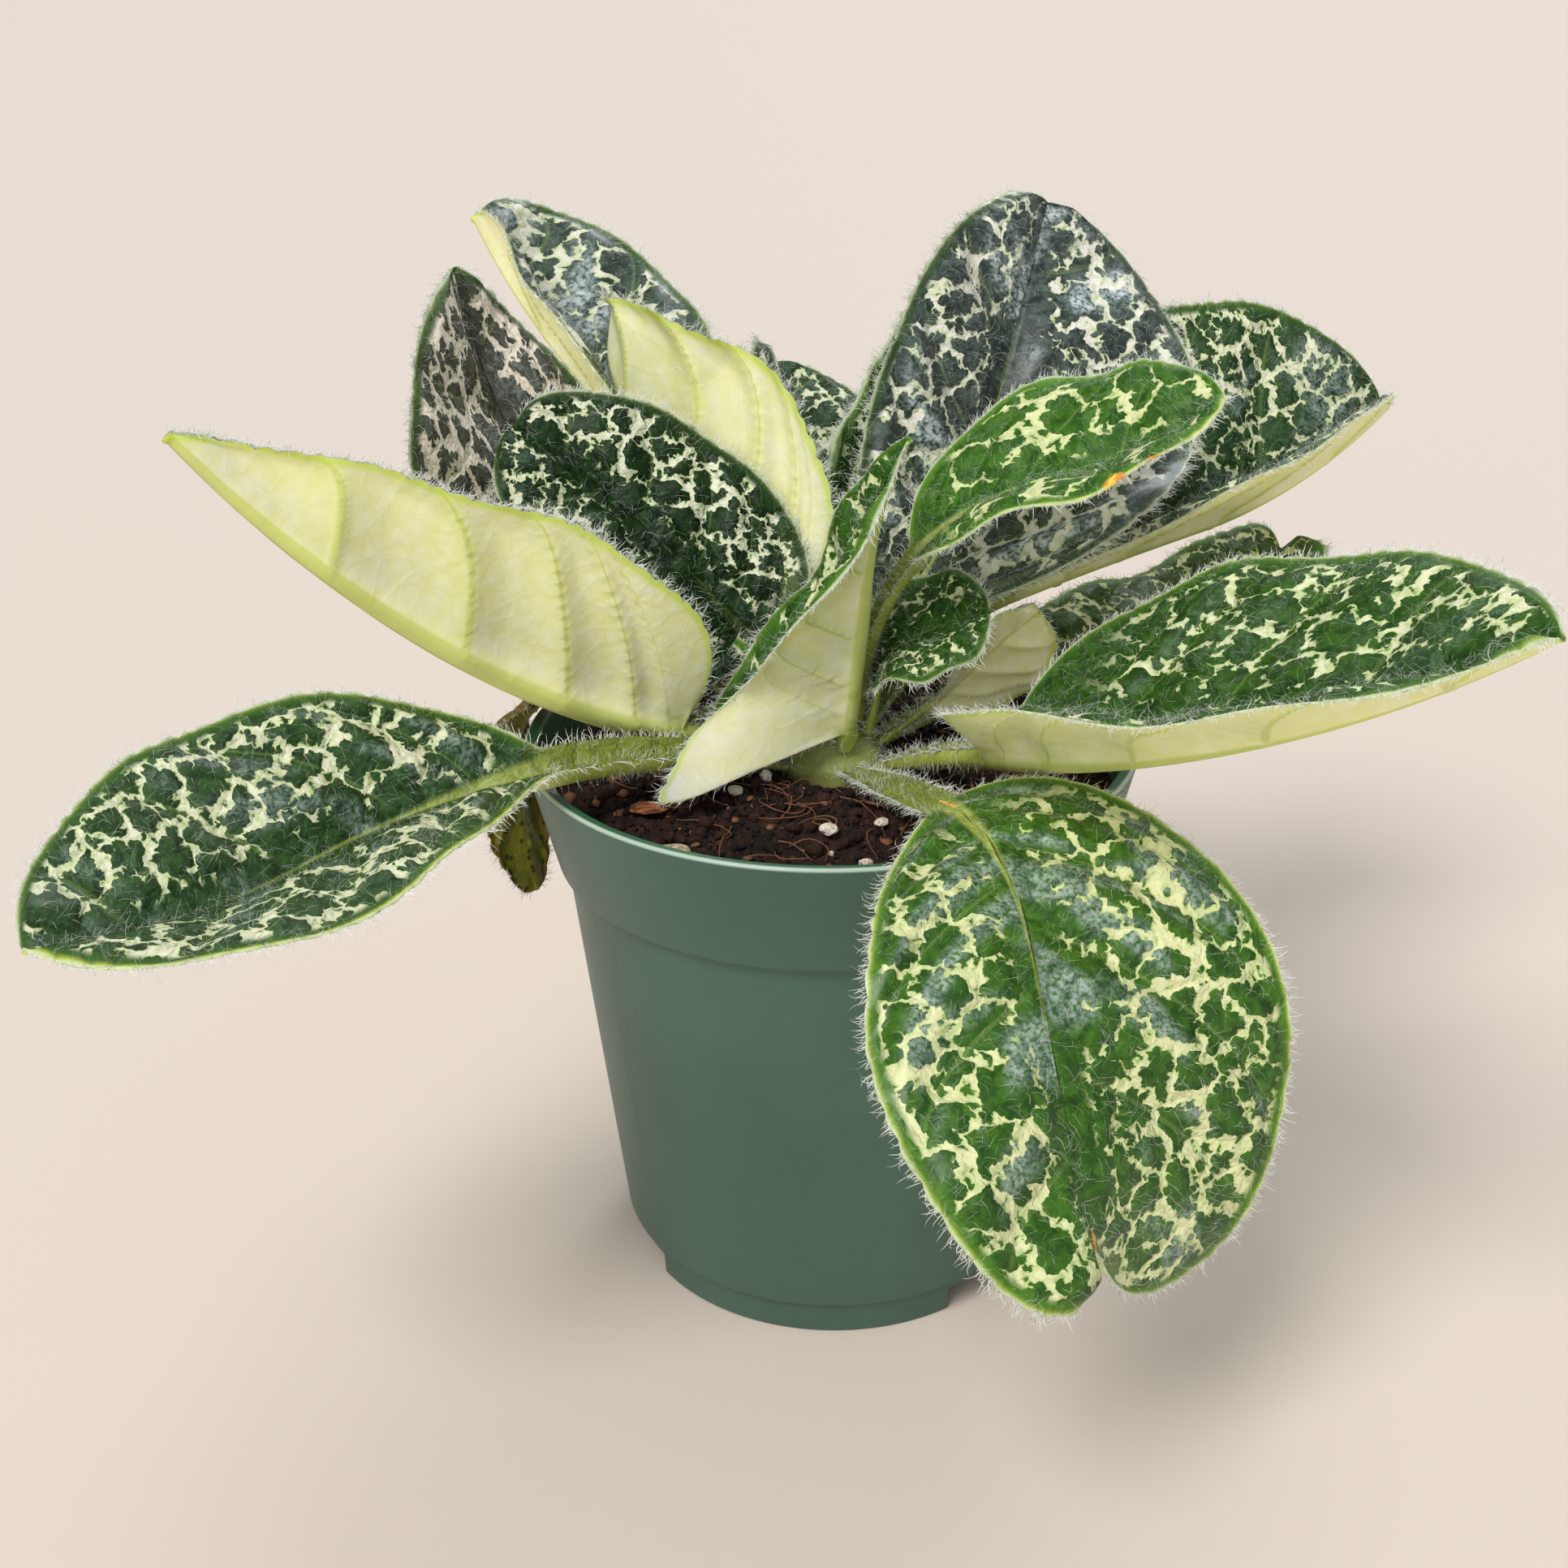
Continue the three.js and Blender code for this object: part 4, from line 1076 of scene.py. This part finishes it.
# %% Upper face of the leaves: the net
out_from_rib = share.rise(0.08, 0.26) * (blade_part / net_from).rise(0.2, 1.0)
outer_part = share.rise(0.08, 0.45)
blot = patches.rise(0.45, 0.68) * outer_part
to_ring = (share + (patches - 0.5) * 0.3 - 0.66).size() * 24.0 + patches.rise(0.58, 0.48) * 3.0
lobed = to_edge.least(to_ring) * 0.5 + middle_to_edge * 0.5 - lobe * 0.85 + 0.5
width = (0.62 + 0.4 * outer_part + blot * 0.35) * net_much - 0.75
width = width + small_edge.rise(0.3, 0.0) * 0.15
width = width + (frayed - 0.5) * 0.3 - patches.rise(0.4, 0.3) * 0.15
inside = width - lobed
cream = inside.rise(-0.08, 0.08) * edge_mm.rise(1.2, 2.6) * out_from_rib.rise(0.0, 0.4)
print("upper face:", len(upper_face.tree.nodes), "nodes with the net")

# %% Upper face of the leaves: the colours
mottled = mottle.rise(0.3, 0.7)
from_vein = veins.from_whole()
thin_vein = from_vein.rise(0.03, 0.008) * share.rise(0.02, 0.2) * edge_mm.rise(1.0, 4.0)
# painted highlight: pale blue-white streaks beside the side veins where the skin would reflect a
# bright window; the same mask also makes the skin smoother there
glint = from_vein.rise(0.03, 0.2) * sheen.rise(0.49, 0.62) * shine * edge_mm.rise(2.0, 5.0)
glint = glint * frayed.rise(0.3, 0.6)
dark = blend(mottled, (8, 30, 6), (26, 62, 12))
bright = blend(mottled, (34, 82, 8), (70, 120, 24))
green = coats(
    blend(fresh, dark, bright),
    (dusk * 0.75, blend(mottle, (62, 54, 46), (112, 100, 88))),
    # painted reflection: grey-blue islands where the skin would mirror the sky's sheen
    (silver * 0.7, blend(mottle.rise(0.35, 0.65), (36, 46, 46), (90, 102, 102))),
    # painted highlight in blue-white
    (glint * 0.75, blend(mottled, (96, 122, 118), (222, 234, 238))),
    (thin_vein * 0.25, (142, 168, 92)),
)
pale = coats(
    blend(fresh, (240, 240, 216), (228, 232, 172)),
    # painted reflection: a whiter net where the skin would mirror the sky's sheen
    (silver * 0.8, (240, 236, 230)),
    (dusk * 0.8, (246, 230, 216)),
)
pale = coats(
    pale,
    (inside.rise(0.5, 0.0) * 0.6, blend(dusk, (170, 200, 104), pale)),
    (mottle.rise(0.5, 0.72) * 0.4, (176, 198, 120)),
)
rib_line = (rib_part + blade_part * 1.6).rise(0.8, 0.4)
rib_line = rib_line.most(rib_part.rise(0.24, 0.1) * blade_part.rise(0.85, 0.3) * 0.6)
at_stalk = blade_part.rise(0.06, -0.04) * rib_part.rise(2.2, 1.2)
burnt = (rust * 1.4 + (frayed - 0.5) * 0.9).rise(0.3, 0.8)
colour = coats(
    green,
    (cream, pale),
    (edge_mm.rise(2.6, 0.8) * 0.7, blend(fresh, (40, 72, 28), (92, 144, 34))),
    # painted light: a yellow-green band on the margins, as if light shone through them
    (edge_mm.rise(1.1, 0.2) * glow, (196, 212, 78)),
    (edge_mm.rise(0.6, 0.1) * 0.6, (222, 232, 206)),
    (rib_line * 0.85 * rib_pale, (172, 188, 90)),
    (at_stalk, blend(mottle, (100, 114, 30), (136, 148, 56))),
    (burnt, blend(mottle.rise(0.35, 0.6), (240, 216, 84), (230, 150, 60))),
)
print("upper face:", len(upper_face.tree.nodes), "nodes with the colours")

# %% Upper face of the leaves: relief and gloss
pillows = from_vein.rise(0.0, 0.4) * vein_part * edge_mm.rise(0.0, 5.0) * 1.3
cell_height = pillows + to_edge.least(2.0) * 0.3 + small_edge.least(0.5) * 0.14
skin_grain = noise(bent, 3.5, 2.0)
upper_face.feed(
    Base_Color=colour,
    Roughness=0.36 + 0.16 * mottle + 0.1 * cream - 0.14 * glint,
    Coat_Weight=0.05 + 0.45 * shine,
    Normal=upper_face.raised(cell_height + skin_grain * 0.05, 0.0011),
)
print("upper face:", len(upper_face.tree.nodes), "nodes in all")

# %% Underside of the leaves
under_face = Finish(
    "leaf_underside", IOR=1.4, Subsurface_Weight=0.6, Subsurface_Scale=0.002,
    Subsurface_Radius=(1.0, 1.0, 0.4),
)
blend = under_face.blend
(
    across_mm, along_mm, share, edge_mm, blade_part, rib_part, veins, vein_part, leaf_number,
) = under_face.attributes(leaf_facts)
spot = under_face.vector(across_mm + leaf_number * number_across, along_mm)
mottle = under_face.noise(spot, 0.3, 3.0)
nets = under_face.cells(spot, 0.2, "DISTANCE_TO_EDGE")
past_vein = veins - veins.maths("FLOOR", veins)
from_vein = veins.from_whole()
side_vein = from_vein.rise(0.05, 0.012) * share.rise(0.02, 0.12) * vein_part.rise(0.0, 0.2)
shade_beside_vein = from_vein.rise(0.2, 0.05) * share.rise(0.02, 0.12) * vein_part
at_stalk = blade_part.rise(0.08, -0.04) * rib_part.rise(2.2, 1.2)
pale = under_face.coats(
    blend(mottle.rise(0.3, 0.75), (240, 238, 176), (249, 249, 206)),
    # painted shade: each panel between side veins is darker towards the vein on its foot's side, as
    # the quilted relief would be shaded
    (past_vein.rise(0.7, 0.0) * vein_part * 0.3, (208, 216, 128)),
    # painted shade: darker bands flanking the raised side veins
    (shade_beside_vein * 0.2, (214, 222, 136)),
    (nets.rise(0.04, 0.0) * 0.12, (206, 214, 130)),
    (side_vein * 0.6, (190, 206, 92)),
    (rib_part.rise(1.1, 0.7) * 0.8, (204, 214, 112)),
    (edge_mm.rise(2.0, 0.4) * 0.8, (194, 218, 84)),
    (at_stalk, blend(mottle, (136, 146, 58), (176, 184, 92))),
)
relief = nets.rise(0.12, 0.0) * 0.05 + mottle * 0.5 - from_vein.rise(0.0, 0.4) * vein_part * 1.8
under_face.feed(
    Base_Color=pale,
    Roughness=0.5 + 0.15 * mottle,
    Normal=under_face.raised(relief, 0.0005),
)
print("underside:", len(under_face.tree.nodes), "nodes")

# %% The old leaf's faces
old_face = Finish("old_leaf", Roughness=0.55)
across_mm, along_mm, edge_mm, blade_part = old_face.attributes("across_mm along_mm edge_mm blade_part")
spot = old_face.vector(across_mm, along_mm)
mottle = old_face.noise(spot, 0.22, 4.0)
rusty = (edge_mm.rise(1.6, 0.2) * 0.8).most((mottle.rise(0.6, 0.7)) * blade_part.rise(0.4, 0.9))
olive = old_face.coats(
    old_face.blend(mottle.rise(0.3, 0.7), (90, 94, 18), (142, 138, 40)),
    (across_mm.size().rise(1.2, 0.4) * 0.6, (160, 150, 62)),
    (rusty * 0.6, (134, 70, 28)),
    (old_face.cells(spot, 0.35).rise(0.22, 0.1) * 0.8, (52, 30, 14)),
)
old_face.feed(Base_Color=olive, Normal=old_face.raised(mottle, 0.0004))
print("old leaf:", len(old_face.tree.nodes), "nodes")

# %% [markdown]
# ## Hairs
# Every surface of the plant is hairy: short straight fuzz on the margins and petioles, and
# long curled hairs that lie on the upper face. A hair is a three-sided tube of a few faces
# that ends in a point. They are made in one mesh per leaf, on random places of its faces,
# with a seed, so that each run grows the same hairs.

# %% Hair finish
hair_white = Finish("hair", Roughness=0.4)
tone = hair_white.noise(hair_white.place(), 90.0, 2.0)
hair_white.feed(Base_Color=hair_white.blend(tone, (236, 240, 226), (255, 255, 252)))
hair_taper = np.array([1.0, 0.85, 0.6, 0.0])
print("a hair has", len(hair_taper), "points along it")


# %% Places on a grid, and the path of a hair
def sample(grid, row, column):
    """The grid's value between its rows and columns."""
    low_row = np.clip(row.astype(int), 0, grid.shape[0] - 2)
    low_column = np.clip(column.astype(int), 0, grid.shape[1] - 2)
    a = (row - low_row)[:, None]
    b = (column - low_column)[:, None]
    near = mix(grid[low_row, low_column], grid[low_row, low_column + 1], b)
    far = mix(grid[low_row + 1, low_column], grid[low_row + 1, low_column + 1], b)
    return mix(near, far, a)


def hair_paths(roots, rise, lie, length, curl, rng):
    """Paths of four points that rise along one way and then bend over to lie along another."""
    hop = (length / 3)[:, None]
    wobble = rng.normal(0, curl, (len(roots), 3))
    first = unit(rise + lie * 0.6 + wobble * 0.3)
    second = unit(rise * 0.15 + lie + wobble * 0.6)
    third = unit(lie + wobble * 1.3 - rise * 0.15)
    points = [roots - first * 0.15]
    for way in (first, second, third):
        points.append(points[-1] + way * hop)
    return np.stack(points, 1)

# %% Grow the hairs of one leaf
top_hairs = 0.42
under_hairs = 0.12
margin_hairs = 4.2
petiole_hairs = 1.9
# a root stays this far inside a grid's end, so that sample finds a next row or column
grid_end = 1.001


def leaf_hairs(leaf, upper, lower, facts, rng):
    """Paths and half widths of the hairs on both faces, the two margins and the petiole."""
    rows, columns = upper.shape[:2]
    across = np.cross(np.gradient(upper, axis=0), np.gradient(upper, axis=1))
    area = np.linalg.norm(across, axis=-1)
    total = area.sum()
    chance = (area / total).ravel()
    normal_up = unit(across)
    middle = (rows // 2, half_columns)
    if (normal_up[middle] * (upper[middle] - lower[middle])).sum() < 0:
        normal_up = -normal_up
    paths, widths = [], []

    def on_grid(row, column):
        return np.clip(row, 0, rows - grid_end), np.clip(column, 0, columns - grid_end)

    def add(root, rise, lie, length, curl, thick):
        paths.append(hair_paths(root, rise, lie, length, curl, rng))
        widths.append(thick[:, None] * hair_taper[None])

    def scatter(grid, normals, per_mm2, length, curl, thick):
        count = int(total * per_mm2)
        pick = rng.choice(area.size, count, p=chance)
        row = pick // columns + rng.random(count) - 0.5
        place = on_grid(row, pick % columns + rng.random(count) - 0.5)
        rise = unit(sample(normals, *place))
        lie = unit(np.cross(rise, rng.normal(size=(count, 3))))
        length = rng.uniform(*length, count)
        add(sample(grid, *place), rise, lie, length, curl, rng.uniform(*thick, count))

    scatter(upper, normal_up, top_hairs, (2.0, 4.4), 0.8, (0.011, 0.021))
    scatter(lower, -normal_up, under_hairs, (0.8, 1.8), 0.4, (0.012, 0.02))
    for edge, inner in ((0, 1), (columns - 1, columns - 2)):
        gaps = np.linalg.norm(np.diff(upper[:, edge], axis=0), axis=1)
        travelled = np.concatenate([[0], np.cumsum(gaps)])
        count = int(travelled[-1] * margin_hairs)
        row = np.interp(rng.uniform(0, travelled[-1], count), travelled, np.arange(rows))
        on_edge = np.full(count, min(float(edge), columns - grid_end))
        root = sample((upper + lower) / 2, row, on_edge)
        out = unit(sample(upper, row, on_edge) - sample(upper, row, np.full(count, float(inner))))
        rise = unit(out + rng.normal(0, 0.35, (count, 3)))
        lie = unit(out + rng.normal(0, 0.5, (count, 3)))
        length = 1.0 + 2.4 * rng.random(count) ** 1.6
        add(root, rise, lie, length, 0.35, rng.uniform(0.045, 0.075, count))
    stalk_spots = np.argwhere((facts["blade_part"] < 0.06) & (facts["rib_part"] < 1.2))
    count = int(leaf["petiole"] * leaf["stalk"] * petiole_hairs)
    for grid, normals in ((upper, normal_up), (lower, -normal_up)):
        pick = stalk_spots[rng.integers(0, len(stalk_spots), count)]
        row = pick[:, 0] + rng.random(count)
        place = on_grid(row, pick[:, 1] + rng.random(count) - 0.5)
        rise = unit(sample(normals, *place) + rng.normal(0, 0.3, (count, 3)))
        length = rng.uniform(1.0, 2.9, count)
        add(sample(grid, *place), rise, rise, length, 0.3, rng.uniform(0.02, 0.03, count))
    return np.concatenate(paths), np.concatenate(widths)


print("hairs to the square millimetre above:", top_hairs)

# %% Make all the leaves with their hairs
hair_total = 0
for number, leaf in enumerate(leaves):
    name = leaf["name"]
    piece, upper, lower, facts = make_leaf(leaf, number)
    slot, faces = "leaf", (upper_face, under_face)
    if name == "old_hanging":
        slot, faces = "old_leaf", (old_face, old_face)
    hand_over(piece, "blade_" + name, slot, ["leaf_" + name], *faces)
    leaf_rng = np.random.default_rng(100 + number)
    paths, widths = leaf_hairs(leaf, upper, lower, facts, leaf_rng)
    hairs = strands("hairs_" + name, paths, widths)
    hand_over(hairs, "hairs_" + name, "leaf", (), hair_white)
    hair_total += len(paths)
print("leaves:", len(leaves), "with", hair_total, "hairs")

# %% [markdown]
# ## The crown
# The short stem hides under the petioles. It is turned like the pot, and has the petioles'
# olive green and the same fuzz.

# %% Turn the crown
crown_profile = [
    [3.0, crown_foot], [crown_radius - 1.5, crown_foot], [crown_radius, crown_foot + 6.0],
    [crown_radius, crown_shoulder], [crown_radius_at(99), 99.0],
    [crown_radius_at(crown_top), crown_top], [0.6, crown_top + 0.6],
]
crown = turned(rounded(crown_profile, 0.8), 48)
smooth(crown, 50)
stem = Finish("stem", Roughness=0.6)
tissue = stem.noise(stem.place(), 220.0, 3.0)
stem.feed(
    Base_Color=stem.blend(tissue, (112, 128, 52), (176, 182, 104)),
    Normal=stem.raised(tissue, 0.0006),
)
hand_over(crown, "crown_stem", "stem", ["crown"], stem)
print("crown:", len(crown.data.polygons), "faces")

# %% Grow the crown's hairs
rng = np.random.default_rng(7)
count = 500
bearing = rng.uniform(0, 2 * np.pi, count)
height = rng.uniform(94, crown_top, count)
radius = np.array([crown_radius_at(h) for h in height])
out = ring_of(1.0, bearing, np.full(count, 0.5))
rise = unit(out + rng.normal(0, 0.3, (count, 3)))
length = rng.uniform(1.2, 2.6, count)
paths = hair_paths(ring_of(radius, bearing, height), rise, rise, length, 0.3, rng)
widths = np.full(count, 0.04)[:, None] * hair_taper[None]
hairs = strands("hairs_crown", paths, widths)
hand_over(hairs, "hairs_crown", "stem", (), hair_white)
print("crown hairs:", count)

# %% [markdown]
# ## Floor, light and camera
# The plant stands on a plain pale floor in soft light. A wide sun shines from the left front,
# a low one lights the leaves' pale undersides, and a weaker one from behind gives the gloss on
# the back leaves. The camera looks down at the plant from the front, close by, which is why the
# front leaf looks so large.

# %% Floor
floor = added(bpy.ops.mesh.primitive_plane_add, size=40, location=(0, 0, -0.0002))
floor.name = "floor"
floor_finish = Finish("floor", Roughness=0.8, Base_Color=paint(222, 209, 198))
floor.data.materials.append(floor_finish.material)
print("floor:", floor.dimensions.x, "m wide")


# %% Lights
def soft_sun(name, way, angle, strength, colour):
    """A wide, soft sun that shines from a direction."""
    lamp = bpy.data.lights.new(name, "SUN")
    lamp.angle = math.radians(angle)
    lamp.energy = strength
    lamp.color = colour
    carrier = bpy.data.objects.new(name, lamp)
    bpy.context.scene.collection.objects.link(carrier)
    away, height = math.hypot(way[0], way[1]), way[2]
    carrier.rotation_euler = (math.atan2(away, height), 0, math.atan2(way[1], way[0]) + math.pi / 2)


soft_sun("key", (-0.45, -0.65, 1.05), 24, 2.05, (1.0, 0.98, 0.95))
soft_sun("front", (-0.3, -1.0, 0.12), 40, 0.65, (1.0, 0.99, 0.97))
soft_sun("back", (0.3, 0.9, 0.9), 20, 0.8, (0.92, 0.97, 1.0))
world = bpy.data.worlds.new("studio")
bpy.context.scene.world = world
world.use_nodes = True
sky = world.node_tree.nodes["Background"]
sky.inputs["Color"].default_value = (0.92, 0.94, 0.97, 1)
sky.inputs["Strength"].default_value = 0.45
print("lights: key, front, back and sky")

# %% Camera
camera_distance = 338.74
camera_tilt = math.radians(24.77)
camera_roll = math.radians(-0.86)
aim_point = np.array([-8.06, 0.0, 88.82])
focal_length = 2398.42
picture_width = 1932
sensor_width = 36
ahead = np.array([0, math.cos(camera_tilt), -math.sin(camera_tilt)])
level = np.array([1.0, 0, 0])
over = np.cross(level, ahead)
right = math.cos(camera_roll) * level + math.sin(camera_roll) * over
up = math.cos(camera_roll) * over - math.sin(camera_roll) * level
lens = bpy.data.cameras.new("camera")
lens.sensor_width = sensor_width
lens.lens = focal_length / picture_width * sensor_width
lens.clip_start = 0.01
camera = bpy.data.objects.new("camera", lens)
bpy.context.scene.collection.objects.link(camera)
spot = (aim_point - camera_distance * ahead) * MM
rows = [[right[k], up[k], -ahead[k], spot[k]] for k in range(3)] + [[0, 0, 0, 1]]
camera.matrix_world = Matrix(rows)
bpy.context.scene.camera = camera
bpy.context.scene.view_settings.view_transform = "Standard"
print("camera at", [round(float(v), 4) for v in spot])
